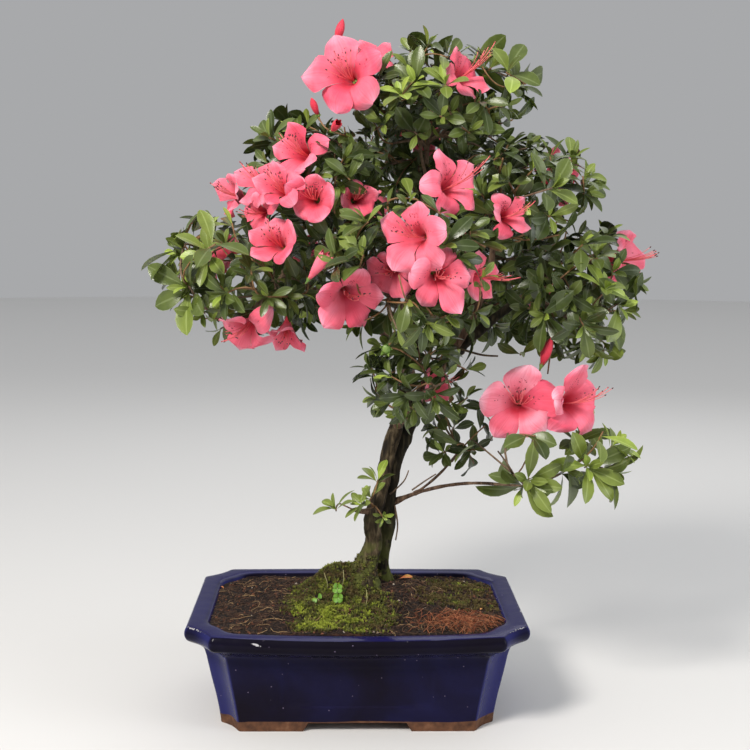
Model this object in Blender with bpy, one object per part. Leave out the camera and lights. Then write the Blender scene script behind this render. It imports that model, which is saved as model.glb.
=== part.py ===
"""An azalea bonsai in flower: a glazed pot, its soil, a twin trunk, boughs and masses of leaves.

Metres, +Z up. The design works from the middle of the pot on the table it stands on. One empty
carries everything and is moved at the end, so that the origin is the bottom centre of the plant.
"""
import math
import random

import bmesh
import bpy
from mathutils import Matrix, Quaternion, Vector
from mathutils.bvhtree import BVHTree

UP = Vector((0.0, 0.0, 1.0))
SEAT_GAP = 0.0003

# Pot: a rectangle with cut corners, a rolled lip, a skirt wall and four corner feet
RIM_WIDTH = 0.260
RIM_DEPTH = 0.210
POT_HEIGHT = 0.081
RIM_CUT = (0.021, 0.026)
BASE_CUT = (0.0155, 0.0225)
CUT_SCOOP = 0.0016
BASE_INSET = 0.025
WALL_PROFILE = (
    (0.0250, 0.000), (0.0220, 0.020), (0.0180, 0.040), (0.0150, 0.056), (0.0128, 0.062),
    (0.0075, 0.0665), (0.0020, 0.0695), (0.0000, 0.073), (0.0000, 0.077), (0.0018, POT_HEIGHT),
)
INNER_PROFILE = (
    (0.0140, POT_HEIGHT), (0.0165, 0.079), (0.0190, 0.070), (0.0215, 0.056), (0.0250, 0.038),
    (0.0290, 0.020), (0.0330, 0.013),
)
FOOT_HEIGHT = 0.0068
FOOT_LENGTH_X = 0.064
FOOT_LENGTH_Y = 0.038
FOOT_SLANT = 0.004
FOOT_THICKNESS = 0.015
PANEL_SIZE = (0.115, 0.0335)
PANEL_HEIGHT = 0.0356
PANEL_INSET = 0.0189
PANEL_TILT = math.radians(11.2)
PANEL_RECESS = 0.0012
DRAIN_RADIUS = 0.007
DRAIN_SPREAD = 0.055
DRAIN_SIDES = 12
CUT_BELOW = 0.010
CUT_REACH = 0.006
SIDE_POINTS = 3

# Lip: bowed outwards along both long sides, and sagging in the middle of the front
LIP_START = 0.056
LIP_FULL = 0.070
LIP_BOW = 0.0030
LIP_SAG = 0.0040

# Soil: it meets the wall below the rim, rises to the trunks' foot and is heaped up on their left
SOIL_EDGE = 0.0745
GROUND = 0.088
GROUND_CENTRE = Vector((0.010, 0.006, GROUND))
GROUND_RADIUS = 0.034
SLOPE_RINGS = 5
MIDDLE_RINGS = 4
SOIL_LUMP = 0.0009
SOIL_RISE_POWER = 1.7
SOIL_GAP = 0.0005
MOUND_CENTRE = (-0.016, 0.010)
MOUND_REACH = (0.045, 0.037)
MOUND_HEIGHT = 0.017
POCKET_GAP = 0.0005
POCKET_DROP = 0.00025

# Trunks: places on the centre line with the radius there, from the ground cut to the tip
TRUNK_SIDES = 10
TRUNK_STEPS = 2
TRUNKS = {
    "trunk_front": (
        (0.0060, -0.002, GROUND + SEAT_GAP, 0.0125),
        (0.0075, 0.000, 0.1075, 0.0098),
        (0.0132, 0.000, 0.130, 0.0070),
        (0.0118, 0.000, 0.149, 0.0066),
        (0.0200, 0.000, 0.174, 0.0060),
        (0.0243, 0.001, 0.200, 0.0054),
        (0.0340, 0.002, 0.233, 0.0053),
        (0.0440, 0.004, 0.290, 0.0047),
        (0.0500, 0.003, 0.360, 0.0039),
        (0.0525, 0.000, 0.425, 0.0030),
    ),
    "trunk_rear": (
        (0.0250, 0.023, GROUND + SEAT_GAP, 0.0082),
        (0.0238, 0.020, 0.106, 0.0062),
        (0.0278, 0.0165, 0.135, 0.0068),
        (0.0292, 0.0150, 0.160, 0.0066),
        (0.0350, 0.0140, 0.198, 0.0063),
        (0.0440, 0.0140, 0.229, 0.0060),
        (0.0640, 0.0170, 0.262, 0.0052),
        (0.0930, 0.0180, 0.292, 0.0042),
        (0.1240, 0.0140, 0.318, 0.0030),
    ),
}
FLARE_HEIGHT = 0.011
FLARE_WIDTH = {"trunk_front": 0.55, "trunk_rear": 0.25}
FLARE_SIDE = math.radians(20.0)
BARK_LUMP = 0.055

# Boughs: the limb each leaves and its height there, the tip, the bend of its middle, both radii
BOUGH_SIDES = 6
BOUGH_STEPS = 6
BOUGHS = {
    "bough_sprig": (
        "trunk_front", 0.154, (-0.003, -0.011, 0.156), (0.000, 0.000, -0.002),
        (0.0018, 0.0014)),
    "bough_lower_right": (
        "trunk_rear", 0.157, (0.106, -0.022, 0.179), (0.000, -0.002, 0.006),
        (0.0027, 0.0018)),
    "bough_lower_inner": (
        "bough_lower_right", 0.166, (0.074, -0.006, 0.194), (0.001, 0.000, -0.001),
        (0.0016, 0.0013)),
    "bough_lower_front": (
        "trunk_front", 0.222, (0.046, -0.034, 0.250), (0.000, -0.006, -0.002),
        (0.0026, 0.0017)),
    "bough_front": (
        "trunk_front", 0.262, (0.037, -0.058, 0.322), (0.000, -0.010, -0.004),
        (0.0032, 0.0020)),
    "bough_left": (
        "trunk_front", 0.280, (-0.045, -0.006, 0.334), (-0.006, 0.000, 0.006),
        (0.0036, 0.0022)),
    "bough_back_left": (
        "trunk_front", 0.306, (-0.006, 0.056, 0.352), (-0.006, 0.010, 0.004),
        (0.0033, 0.0021)),
    "bough_upper_left": (
        "trunk_front", 0.342, (-0.004, -0.010, 0.414), (-0.010, 0.000, 0.004),
        (0.0030, 0.0020)),
    "bough_back_top": (
        "trunk_front", 0.350, (0.056, 0.052, 0.412), (0.000, 0.010, 0.002),
        (0.0029, 0.0019)),
    "bough_upper_right": (
        "trunk_rear", 0.262, (0.104, -0.004, 0.378), (0.014, 0.000, 0.004),
        (0.0033, 0.0021)),
    "bough_back_right": (
        "trunk_rear", 0.280, (0.100, 0.066, 0.330), (0.004, 0.008, 0.006),
        (0.0032, 0.0021)),
}

# Masses: the limb each grows from, then the centre and the reach of its space
MASSES = {
    "leaves_sprig": ("bough_sprig", (-0.004, -0.016, 0.171), (0.038, 0.030, 0.032)),
    "leaves_lower_right": ("bough_lower_right", (0.148, -0.040, 0.212), (0.080, 0.062, 0.054)),
    "leaves_lower_inner": ("bough_lower_inner", (0.083, -0.008, 0.218), (0.040, 0.042, 0.036)),
    "leaves_lower_front": ("bough_lower_front", (0.044, -0.052, 0.268), (0.054, 0.054, 0.046)),
    "leaves_front": ("bough_front", (0.036, -0.098, 0.348), (0.080, 0.066, 0.070)),
    "leaves_left": ("bough_left", (-0.092, -0.008, 0.343), (0.072, 0.100, 0.064)),
    "leaves_back_left": ("bough_back_left", (-0.028, 0.098, 0.355), (0.080, 0.062, 0.078)),
    "leaves_upper_left": ("bough_upper_left", (-0.036, -0.014, 0.420), (0.062, 0.088, 0.058)),
    "leaves_back_top": ("bough_back_top", (0.062, 0.074, 0.436), (0.082, 0.064, 0.062)),
    "leaves_top": ("trunk_front", (0.056, -0.022, 0.474), (0.090, 0.080, 0.056)),
    "leaves_upper_right": ("bough_upper_right", (0.128, -0.026, 0.406), (0.068, 0.082, 0.056)),
    "leaves_right": ("trunk_rear", (0.170, -0.010, 0.332), (0.062, 0.096, 0.066)),
    "leaves_back_right": ("bough_back_right", (0.104, 0.098, 0.345), (0.084, 0.060, 0.078)),
}

# Leading shoots that reach beyond the even surface of their mass
LEADERS = {
    "leaves_sprig": ((-0.020, -0.020, 0.155),),
    "leaves_lower_right": ((0.194, -0.046, 0.193), (0.126, -0.056, 0.184), (0.160, -0.052, 0.196)),
    "leaves_left": ((-0.133, -0.030, 0.362), (-0.128, -0.050, 0.334)),
    "leaves_top": ((0.052, -0.010, 0.502), (0.122, -0.010, 0.490), (0.088, 0.012, 0.503)),
    "leaves_upper_right": ((0.166, 0.000, 0.426),),
    "leaves_right": ((0.196, 0.030, 0.372), (0.196, -0.050, 0.322)),
}

# Blooms: the middle of the open flower, the way it faces and its radius
BLOOMS = {
    "leaves_lower_right": (
        ((0.1201, -0.065, 0.2466), (-0.10, -1.00, 0.05), 0.030),
        ((0.1640, -0.060, 0.2476), (0.55, -0.80, 0.10), 0.029),
    ),
    "leaves_lower_front": (((0.0640, -0.046, 0.2600), (0.60, -0.70, 0.05), 0.018),),
    "leaves_front": (
        ((-0.0067, -0.107, 0.3269), (0.25, -0.85, -0.40), 0.030),
        ((0.0352, -0.132, 0.3722), (-0.55, -0.80, 0.00), 0.031),
        ((0.0562, -0.134, 0.3430), (0.20, -0.95, -0.20), 0.028),
        ((0.0930, -0.100, 0.3420), (0.70, -0.60, -0.20), 0.020),
    ),
    "leaves_left": (
        ((-0.0618, -0.078, 0.3688), (-0.30, -0.90, 0.30), 0.025),
        ((-0.0876, -0.055, 0.2987), (-0.50, -0.60, -0.60), 0.026),
        ((-0.0560, -0.020, 0.2900), (-0.05, -0.55, -0.80), 0.020),
        ((-0.1150, 0.062, 0.3560), (-0.70, 0.70, 0.15), 0.026),
    ),
    "leaves_back_left": (
        ((-0.0500, 0.142, 0.3500), (-0.35, 0.90, 0.05), 0.029),
        ((0.0100, 0.140, 0.3950), (0.10, 0.90, 0.40), 0.027),
    ),
    "leaves_upper_left": (
        ((-0.0463, -0.066, 0.4336), (-0.55, -0.80, 0.20), 0.025),
        ((-0.0760, -0.050, 0.4117), (-0.75, -0.60, 0.30), 0.025),
        ((-0.0350, -0.084, 0.3990), (-0.20, -0.95, 0.05), 0.024),
        ((-0.1020, -0.004, 0.4020), (-0.90, -0.30, 0.10), 0.022),
    ),
    "leaves_back_top": (((0.0500, 0.118, 0.4600), (-0.10, 0.85, 0.50), 0.029),),
    "leaves_top": (
        ((-0.0108, -0.064, 0.4893), (-0.35, -0.93, 0.15), 0.033),
        ((0.0119, -0.024, 0.5090), (0.20, -0.50, 0.80), 0.024),
        ((0.0803, -0.056, 0.4918), (0.60, -0.70, 0.35), 0.024),
    ),
    "leaves_upper_right": (
        ((0.0689, -0.098, 0.4093), (0.60, -0.75, 0.25), 0.027),
        ((0.1120, -0.092, 0.3879), (0.50, -0.80, 0.10), 0.020),
        ((0.1580, 0.018, 0.4200), (0.80, 0.35, 0.45), 0.026),
    ),
    "leaves_right": (((0.2110, 0.000, 0.3533), (0.85, -0.50, 0.00), 0.033),),
    "leaves_back_right": (
        ((0.0900, 0.146, 0.3700), (0.00, 1.00, 0.10), 0.029),
        ((0.1550, 0.118, 0.3200), (0.60, 0.75, -0.10), 0.027),
    ),
}

# Growth rule
SEED = 2604
SHOOT_TRIES = 260
SHOOT_SPACING = 0.045
SHOOT_DEPTH = (0.30, 0.80)
SHOOT_CLEARANCE = 0.009
SHOOT_LIFT = 0.45
HEART_CENTRE = Vector((0.045, 0.000, 0.370))
HEART_REACH = Vector((0.070, 0.050, 0.075))
SPACE_MARGIN = 0.045
FULL_REACH = 0.070
LIMB_CLEARANCE = 0.0016
STEM_LENGTH = 0.012
TWIG_RADIUS = 0.0016
TWIG_STEPS = 2
TWIG_CURVE = 0.45
TWIG_FACING = 0.6
PATH_SAMPLES = 16
PATH_LIMIT = 1.6
ORIGIN_TRIES = 14
FORK_POWER = 2.6
LEAVES_A_SHOOT = 5
LEAF_LENGTH = 0.038
LEAF_WIDTH = 0.0165
LEAF_THICKNESS = 0.0011
LEAF_ROOT_SINK = 0.0002
LEAF_ROOT_STEP = 0.0020
GOLDEN_ANGLE = math.radians(137.508)
LEAF_ANGLE = math.radians(66)
LEAF_ANGLE_SPREAD = math.radians(14)
LEAF_DROOP = 0.12
BLOOM_LEAF_ANGLE = math.radians(88)
BLOOM_LEAF_DROP = 0.004
LEAVES_A_BLOOM = 3
BLOOM_DEPTH = 0.024
BLOOM_NECK_RADIUS = 0.0016
OWN_BLOOM_SHARE = 0.62
OTHER_BLOOM_SHARE = 1.12


def new_material(name, colour, roughness, metallic=0.0):
    """Return a plain material."""
    material = bpy.data.materials.new(name)
    material.use_nodes = True
    shader = material.node_tree.nodes["Principled BSDF"]
    shader.inputs["Base Color"].default_value = (*colour, 1.0)
    shader.inputs["Roughness"].default_value = roughness
    shader.inputs["Metallic"].default_value = metallic
    return material


def new_object(name, points, faces, material=None, parent=None):
    """Return a closed mesh object with its faces turned outwards."""
    mesh = bpy.data.meshes.new(name)
    mesh.from_pydata([tuple(point) for point in points], [], faces)
    shape = bmesh.new()
    shape.from_mesh(mesh)
    bmesh.ops.recalc_face_normals(shape, faces=shape.faces)
    shape.to_mesh(mesh)
    shape.free()
    made = bpy.data.objects.new(name, mesh)
    bpy.context.scene.collection.objects.link(made)
    made.parent = parent
    if material is not None:
        mesh.materials.append(material)
    return made


def loft(rings):
    """Return the points and faces of a closed skin over rings of equal count."""
    count = len(rings[0])
    points = [point for ring in rings for point in ring]
    faces = [list(range(count))[::-1]]
    for level in range(len(rings) - 1):
        low = level * count
        high = low + count
        for side in range(count):
            after = (side + 1) % count
            faces.append([low + side, low + after, high + after, high + side])
    last = (len(rings) - 1) * count
    faces.append([last + side for side in range(count)])
    return points, faces


def cut_with(target, cutter):
    """Cut the target with a guide that isn't a piece of the plant."""
    cutter.hide_render = True
    cutter.display_type = "WIRE"
    modifier = target.modifiers.new("cut_" + cutter.name, "BOOLEAN")
    modifier.operation = "DIFFERENCE"
    modifier.object = cutter


# Pot and soil

def pot_outline(inset, height):
    """Return the pot's outline at an inset from its rim: a rectangle with scooped corner cuts."""
    share = inset / BASE_INSET
    half_x = RIM_WIDTH / 2 - inset
    half_y = RIM_DEPTH / 2 - inset
    cut_x = RIM_CUT[0] + (BASE_CUT[0] - RIM_CUT[0]) * share
    cut_y = RIM_CUT[1] + (BASE_CUT[1] - RIM_CUT[1]) * share
    outline = []
    for sign_x, sign_y in ((1, 1), (-1, 1), (-1, -1), (1, -1)):
        corner = []
        for step in range(4):
            along = step / 3
            scoop = CUT_SCOOP * math.sin(math.pi * along)
            x = half_x - cut_x * along - scoop
            y = half_y - cut_y * (1 - along) - scoop
            corner.append(Vector((sign_x * x, sign_y * y, height)))
        if sign_x * sign_y < 0:
            corner.reverse()
        outline.extend(corner)
    return [bowed(point) for point in with_side_points(outline)]


def with_side_points(ring):
    """Return a ring of four corners with more points along the four straight sides between them."""
    points = []
    for index, point in enumerate(ring):
        points.append(point)
        if index % 4 == 3:
            after = ring[(index + 1) % len(ring)]
            shares = [step / (SIDE_POINTS + 1) for step in range(1, SIDE_POINTS + 1)]
            points.extend([point.lerp(after, share) for share in shares])
    return points


def lip_share(point):
    """Return how much of the lip's unevenness a place has: most at the lip, in the middle of a side."""
    rise = min(1.0, max(0.0, (point.z - LIP_START) / (LIP_FULL - LIP_START)))
    return rise * (1.0 - (2 * point.x / RIM_WIDTH) ** 2)


def bowed(point):
    """Return a place on the pot's wall, bowed outwards near the lip."""
    return point + Vector((0.0, LIP_BOW * lip_share(point) * (2 * point.y / RIM_DEPTH) ** 3, 0.0))


def sagging(point):
    """Return a place on the pot's wall, lowered near the front of the lip."""
    front = min(0.0, 2 * point.y / RIM_DEPTH)
    return point - UP * LIP_SAG * lip_share(point) * front ** 2


def box_points(low, high):
    """Return the corners and faces of a box."""
    points = [(x, y, z) for z in (low[2], high[2]) for y in (low[1], high[1]) for x in (low[0], high[0])]
    faces = [(0, 2, 3, 1), (4, 5, 7, 6), (0, 1, 5, 4), (2, 6, 7, 3), (0, 4, 6, 2), (1, 3, 7, 5)]
    return points, faces


def slot_points(axis, half_low, half_high, height, reach):
    """Return a bar of slanted sides that runs across the pot's underside."""
    points = []
    for end in (-reach, reach):
        for half, level in ((-half_low, -CUT_BELOW), (half_low, -CUT_BELOW), (half_low, 0.0),
                            (half_high, height), (-half_high, height), (-half_low, 0.0)):
            points.append((half, end, level) if axis == "y" else (end, half, level))
    sides = [[side, (side + 1) % 6, (side + 1) % 6 + 6, side + 6] for side in range(6)]
    return points, [[0, 1, 2, 3, 4, 5], [6, 7, 8, 9, 10, 11]] + sides


def build_pot(parent, material):
    """Make the pot with its feet, drain holes and the sunk panel on its two long sides."""
    rings = [[sagging(point) for point in pot_outline(inset, height)]
             for inset, height in WALL_PROFILE + INNER_PROFILE]
    pot = new_object("pot", *loft(rings), material, parent)
    half_x = RIM_WIDTH / 2 - BASE_INSET
    half_y = RIM_DEPTH / 2 - BASE_INSET
    slot_x = half_x - FOOT_LENGTH_X
    slot_y = half_y - FOOT_LENGTH_Y
    front_slot = slot_points("y", slot_x, slot_x - FOOT_SLANT, FOOT_HEIGHT, RIM_DEPTH)
    side_slot = slot_points("x", slot_y, slot_y - FOOT_SLANT, FOOT_HEIGHT - SEAT_GAP, RIM_WIDTH)
    pocket_x = half_x - FOOT_THICKNESS
    pocket_y = half_y - FOOT_THICKNESS
    pocket = box_points((-pocket_x, -pocket_y, -CUT_BELOW), (pocket_x, pocket_y, FOOT_HEIGHT + SEAT_GAP))
    cut_with(pot, new_object("guide_front_slot", *front_slot, None, parent))
    cut_with(pot, new_object("guide_side_slot", *side_slot, None, parent))
    cut_with(pot, new_object("guide_pocket", *pocket, None, parent))
    for side, sign in (("front", -1), ("back", 1)):
        panel = box_points((-PANEL_SIZE[0] / 2, -CUT_REACH, -PANEL_SIZE[1] / 2),
                           (PANEL_SIZE[0] / 2, PANEL_RECESS, PANEL_SIZE[1] / 2))
        guide = new_object("guide_panel_" + side, *panel, None, parent)
        turn = 0.0 if sign < 0 else math.pi
        wall_y = sign * (RIM_DEPTH / 2 - PANEL_INSET)
        place = Matrix.Translation((0.0, wall_y, PANEL_HEIGHT))
        guide.data.transform(place @ Matrix.Rotation(turn, 4, "Z") @ Matrix.Rotation(PANEL_TILT, 4, "X"))
        cut_with(pot, guide)
    for side, sign in (("left", -1), ("right", 1)):
        ring = [(sign * DRAIN_SPREAD + DRAIN_RADIUS * math.cos(turn), DRAIN_RADIUS * math.sin(turn))
                for turn in (math.tau * step / DRAIN_SIDES for step in range(DRAIN_SIDES))]
        hole = loft([[(x, y, level) for x, y in ring] for level in (-CUT_BELOW, WALL_PROFILE[1][1])])
        cut_with(pot, new_object("guide_drain_" + side, *hole, None, parent))
    return pot


def soil_lump(point):
    """Return a small unevenness of the ground."""
    return SOIL_LUMP * (math.sin(190 * point.x + 60 * point.y) + math.sin(150 * point.y - 90 * point.x))


def inner_inset(level):
    """Return the inset of the pot's inner wall at a height."""
    for (inset_high, high), (inset_low, low) in zip(INNER_PROFILE, INNER_PROFILE[1:]):
        if low <= level <= high:
            return inset_low + (inset_high - inset_low) * (level - low) / (high - low)
    return INNER_PROFILE[-1][0]


def mound_rise(point):
    """Return how high the soil is heaped up at a place beside the front trunk."""
    along = (point.x - MOUND_CENTRE[0]) / MOUND_REACH[0]
    across = (point.y - MOUND_CENTRE[1]) / MOUND_REACH[1]
    return MOUND_HEIGHT * max(0.0, 1.0 - along ** 2 - across ** 2) ** 2


def build_soil(limbs, parent, material):
    """Make the soil that fills the pot, level under the trunks and heaped up against their left side."""
    rings = []
    for inset, height in reversed(INNER_PROFILE):
        if height < SOIL_EDGE:
            level = height if rings else height + SEAT_GAP
            rings.append(pot_outline(inset + SOIL_GAP, level))
    edge = pot_outline(inner_inset(SOIL_EDGE) + SOIL_GAP, SOIL_EDGE)
    rings.append(edge)
    turns = [math.atan2(point.y - GROUND_CENTRE.y, point.x - GROUND_CENTRE.x) for point in edge]
    foot = [GROUND_CENTRE + GROUND_RADIUS * Vector((math.cos(turn), math.sin(turn), 0.0)) for turn in turns]
    for ring in range(1, SLOPE_RINGS + 1):
        share = ring / SLOPE_RINGS
        level = [outer.lerp(inner, share) for outer, inner in zip(edge, foot)]
        for point in level:
            point.z = SOIL_EDGE + (GROUND - SOIL_EDGE) * share ** SOIL_RISE_POWER + mound_rise(point)
            if ring < SLOPE_RINGS:
                point.z += soil_lump(point)
        rings.append(level)
    for ring in range(1, MIDDLE_RINGS):
        level = [point.lerp(GROUND_CENTRE, ring / MIDDLE_RINGS) for point in foot]
        for point in level:
            point.z = GROUND + mound_rise(point)
        rings.append(level)
    soil = new_object("soil", *loft(rings), material, parent)
    for name in TRUNKS:
        run, directions = limbs[name]
        pocket = grown(run, POCKET_GAP)
        pocket[0] = (pocket[0][0] - UP * POCKET_DROP, pocket[0][1])
        guide = limb_skin(name, pocket, directions)
        cut_with(soil, new_object("guide_pocket_" + name, *guide, None, parent))


# Limbs

def smooth_run(places, steps):
    """Return points with radii on a smooth curve through the given places."""
    run = []
    last = len(places) - 1
    for index in range(last):
        before = Vector(places[max(index - 1, 0)])
        start = Vector(places[index])
        end = Vector(places[index + 1])
        after = Vector(places[min(index + 2, last)])
        for step in range(steps):
            share = step / steps
            square = share * share
            cube = square * share
            run.append(0.5 * (2 * start + (end - before) * share
                              + (2 * before - 5 * start + 4 * end - after) * square
                              + (3 * start - before - 3 * end + after) * cube))
    run.append(Vector(places[last]))
    return [(Vector(place[:3]), place[3]) for place in run]


def run_directions(run):
    """Return the direction of a run at each of its points."""
    last = len(run) - 1
    ends = [(run[max(index - 1, 0)][0], run[min(index + 1, last)][0]) for index in range(last + 1)]
    return [(after - before).normalized() for before, after in ends]


def ring_frames(directions):
    """Return two crosswise axes for each direction, carried along without twist."""
    side = directions[0].orthogonal().normalized()
    frames = []
    for direction in directions:
        side = (side - direction * side.dot(direction)).normalized()
        frames.append((side, direction.cross(side)))
    return frames


def tube(run, directions, sides, widen=None):
    """Return the points and faces of a closed tube; widen(ring, turn) scales its radius."""
    rings = []
    for ring, (side, across) in enumerate(ring_frames(directions)):
        centre, radius = run[ring]
        points = []
        for step in range(sides):
            turn = math.tau * step / sides
            reach = radius * (widen(centre, turn) if widen else 1.0)
            points.append(centre + (side * math.cos(turn) + across * math.sin(turn)) * reach)
        rings.append(points)
    return loft(rings)


def trunk_widen(name):
    """Return the rule of a trunk's lumps and of the flare at its foot."""
    def widen(centre, turn):
        lumps = math.sin(2 * turn + 70 * centre.z) + 0.6 * math.sin(3 * turn - 110 * centre.z)
        flare = math.exp(-(centre.z - GROUND) / FLARE_HEIGHT)
        lobes = 0.6 + 0.4 * math.cos(turn - FLARE_SIDE)
        return 1.0 + BARK_LUMP * lumps + FLARE_WIDTH[name] * flare * lobes
    return widen


def grown(run, extra):
    """Return a run with every radius made larger."""
    return [(centre, radius + extra) for centre, radius in run]


def place_at_height(run, height):
    """Return the first place on a rising run at a height."""
    for (low, _), (high, _) in zip(run, run[1:]):
        if low.z <= height <= high.z:
            return low.lerp(high, (height - low.z) / (high.z - low.z))
    return run[-1][0]


def limb_skin(name, run, directions):
    """Return the points and faces of one limb, with a trunk's lumps and flare."""
    if name in TRUNKS:
        return tube(run, directions, TRUNK_SIDES, trunk_widen(name))
    return tube(run, directions, BOUGH_SIDES)


def plan_limbs():
    """Return each limb's run and directions."""
    limbs = {}
    for name, places in TRUNKS.items():
        run = smooth_run(places, TRUNK_STEPS)
        directions = run_directions(run)
        directions[0] = UP.copy()
        limbs[name] = (run, directions)
    for name, (parent, height, tip, bend, radii) in BOUGHS.items():
        start = place_at_height(limbs[parent][0], height)
        tip = Vector(tip)
        control = (start + tip) / 2 + 2 * Vector(bend)
        run = []
        for step in range(BOUGH_STEPS + 1):
            share = step / BOUGH_STEPS
            place = start * (1 - share) ** 2 + control * 2 * share * (1 - share) + tip * share ** 2
            run.append((place, radii[0] + (radii[1] - radii[0]) * share))
        directions = run_directions(run)
        directions[-1] = (tip - control).normalized()
        limbs[name] = (run, directions)
    return limbs


def build_limbs(limbs, parent, material):
    """Make the trunks and boughs, each bough cut to sit on the limb that it leaves."""
    for name, (run, directions) in limbs.items():
        limb = new_object(name, *limb_skin(name, run, directions), material, parent)
        if name in BOUGHS:
            carrier = BOUGHS[name][0]
            carrier_run, carrier_directions = limbs[carrier]
            guide = limb_skin(carrier, grown(carrier_run, SEAT_GAP * 1.2), carrier_directions)
            cut_with(limb, new_object("guide_seat_" + name, *guide, None, parent))


def limb_surface(limbs):
    """Return a search tree over the surface of every limb."""
    points = []
    faces = []
    for name, (run, directions) in limbs.items():
        limb_points, limb_faces = limb_skin(name, run, directions)
        faces.extend([[corner + len(points) for corner in face] for face in limb_faces])
        points.extend(limb_points)
    return BVHTree.FromPolygons(points, faces)


# Growth of a mass

def mass_size(name):
    """Return how large the shoots of a mass are: a small mass has closer shoots and smaller leaves."""
    return min(1.0, (sum(MASSES[name][2]) / 3 / FULL_REACH) ** 0.6)


def space_ratio(name, point):
    """Return how far out a point lies in a mass's space, where 1 is its surface."""
    centre, reach = MASSES[name][1], MASSES[name][2]
    return math.sqrt(sum(((point[axis] - centre[axis]) / reach[axis]) ** 2 for axis in range(3)))


def in_own_space(name, point, limit):
    """Tell whether a point is inside a mass's space and in no neighbour's share of it."""
    ratio = space_ratio(name, point)
    if ratio > limit:
        return False
    return all(space_ratio(other, point) > ratio + SPACE_MARGIN for other in MASSES if other != name)


def clear_of_limbs(surface, point, clearance):
    """Tell whether a point keeps its distance from every limb."""
    place, normal, _, distance = surface.find_nearest(point)
    inside = (point - place).dot(normal) < -0.5 * distance
    return distance > clearance and not inside


def clear_of_blooms(name, point):
    """Tell whether a point is clear of the open flowers, by more for another mass's flowers."""
    for owner, blooms in BLOOMS.items():
        for centre, facing, radius in blooms:
            share = OWN_BLOOM_SHARE if owner == name else OTHER_BLOOM_SHARE
            middle = Vector(centre) - Vector(facing).normalized() * BLOOM_LEAF_DROP
            if (point - middle).length < radius * share:
                return False
    return True


def pick_shoots(name, rng, surface):
    """Return the places and facings of a mass's shoots: leaders, flowers and an even spread."""
    centre, reach = Vector(MASSES[name][1]), Vector(MASSES[name][2])
    size = mass_size(name)
    shoots = []
    for middle, facing, radius in BLOOMS.get(name, ()):
        facing = Vector(facing).normalized()
        shoots.append((Vector(middle) - facing * BLOOM_DEPTH, facing, radius))
    for place in LEADERS.get(name, ()):
        place = Vector(place)
        shoots.append((place, (place - centre).normalized(), 0.0))
    for _ in range(SHOOT_TRIES):
        outward = Vector([rng.gauss(0.0, 1.0) for _ in range(3)]).normalized()
        depth = SHOOT_DEPTH[0] + (SHOOT_DEPTH[1] - SHOOT_DEPTH[0]) * math.sqrt(rng.random())
        place = centre + Vector([outward[axis] * reach[axis] * depth for axis in range(3)])
        from_heart = Vector([(place[axis] - HEART_CENTRE[axis]) / HEART_REACH[axis] for axis in range(3)])
        if from_heart.length < 1.0 or not in_own_space(name, place, 1.0):
            continue
        if not clear_of_limbs(surface, place, SHOOT_CLEARANCE) or not clear_of_blooms(name, place):
            continue
        if any((place - other[0]).length < SHOOT_SPACING * size for other in shoots):
            continue
        shoots.append((place, (outward + UP * SHOOT_LIFT).normalized(), 0.0))
    return shoots


def bend_to(start, direction, end, steps):
    """Return the points of a twig that leaves start along direction and curves to end."""
    control = start + direction * (end - start).length * TWIG_CURVE
    places = []
    for step in range(1, steps + 1):
        share = step / steps
        places.append(start * (1 - share) ** 2 + control * 2 * share * (1 - share) + end * share ** 2)
    return places


def grow_twigs(name, limbs, surface, shoots):
    """Join every shoot to the nearest place on the tree of twigs that grows from the mass's stem.

    Return the twig tree as places, the parent of each, and the twigs with their shoots.
    """
    run, directions = limbs[MASSES[name][0]]
    ahead = directions[-1]
    start = run[-1][0] + ahead * SEAT_GAP
    places = [start, start + ahead * STEM_LENGTH]
    headings = [ahead, ahead]
    parents = [-1, 0]
    twigs = [([0, 1], None)]
    for place, facing, radius in sorted(shoots, key=lambda shoot: (shoot[0] - start).length):
        def cost(index):
            away = place - places[index]
            return away.length * (1.5 - 0.5 * away.normalized().dot(headings[index]))

        def passes(index):
            samples = bend_to(places[index], headings[index], place, PATH_SAMPLES)
            if not all(clear_of_limbs(surface, sample, TWIG_RADIUS + LIMB_CLEARANCE) for sample in samples):
                return False
            return all(in_own_space(name, sample, PATH_LIMIT) for sample in samples[:-2])

        origins = sorted(range(1, len(places)), key=cost)[:ORIGIN_TRIES]
        origin = next((index for index in origins if passes(index)), None)
        if origin is None:
            continue
        course = bend_to(places[origin], headings[origin], place, TWIG_STEPS)
        chain = [origin]
        for step in course:
            headings.append((step - places[chain[-1]]).normalized())
            places.append(step)
            parents.append(chain[-1])
            chain.append(len(places) - 1)
        twigs.append((chain, (facing, radius)))
    return places, parents, twigs


def twig_radii(places, parents, stem_radius):
    """Return the radius at each place: a twig carries the twigs that fork from it."""
    load = [0.0] * len(places)
    has_child = set(parents)
    for index in range(len(places) - 1, -1, -1):
        if index not in has_child:
            load[index] += 1.0
        if parents[index] >= 0:
            load[parents[index]] += load[index]
    return [min(TWIG_RADIUS * load[index] ** (1 / FORK_POWER), stem_radius) for index in range(len(places))]


def leaf_points(root, ahead, normal, length, width, droop):
    """Return a leaf of eight faces, widest beyond its middle, with its edges raised a little."""
    side = ahead.cross(normal).normalized()
    middle = root + ahead * length * 0.60
    points = [
        root,
        middle + side * width / 2 + normal * LEAF_THICKNESS,
        middle - side * width / 2 + normal * LEAF_THICKNESS,
        root + ahead * length - normal * droop,
        middle + normal * LEAF_THICKNESS * 0.6,
        middle - normal * LEAF_THICKNESS * 0.6,
    ]
    faces = [(0, 1, 4), (1, 3, 4), (3, 2, 4), (2, 0, 4), (1, 0, 5), (3, 1, 5), (2, 3, 5), (0, 2, 5)]
    return points, faces


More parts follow.
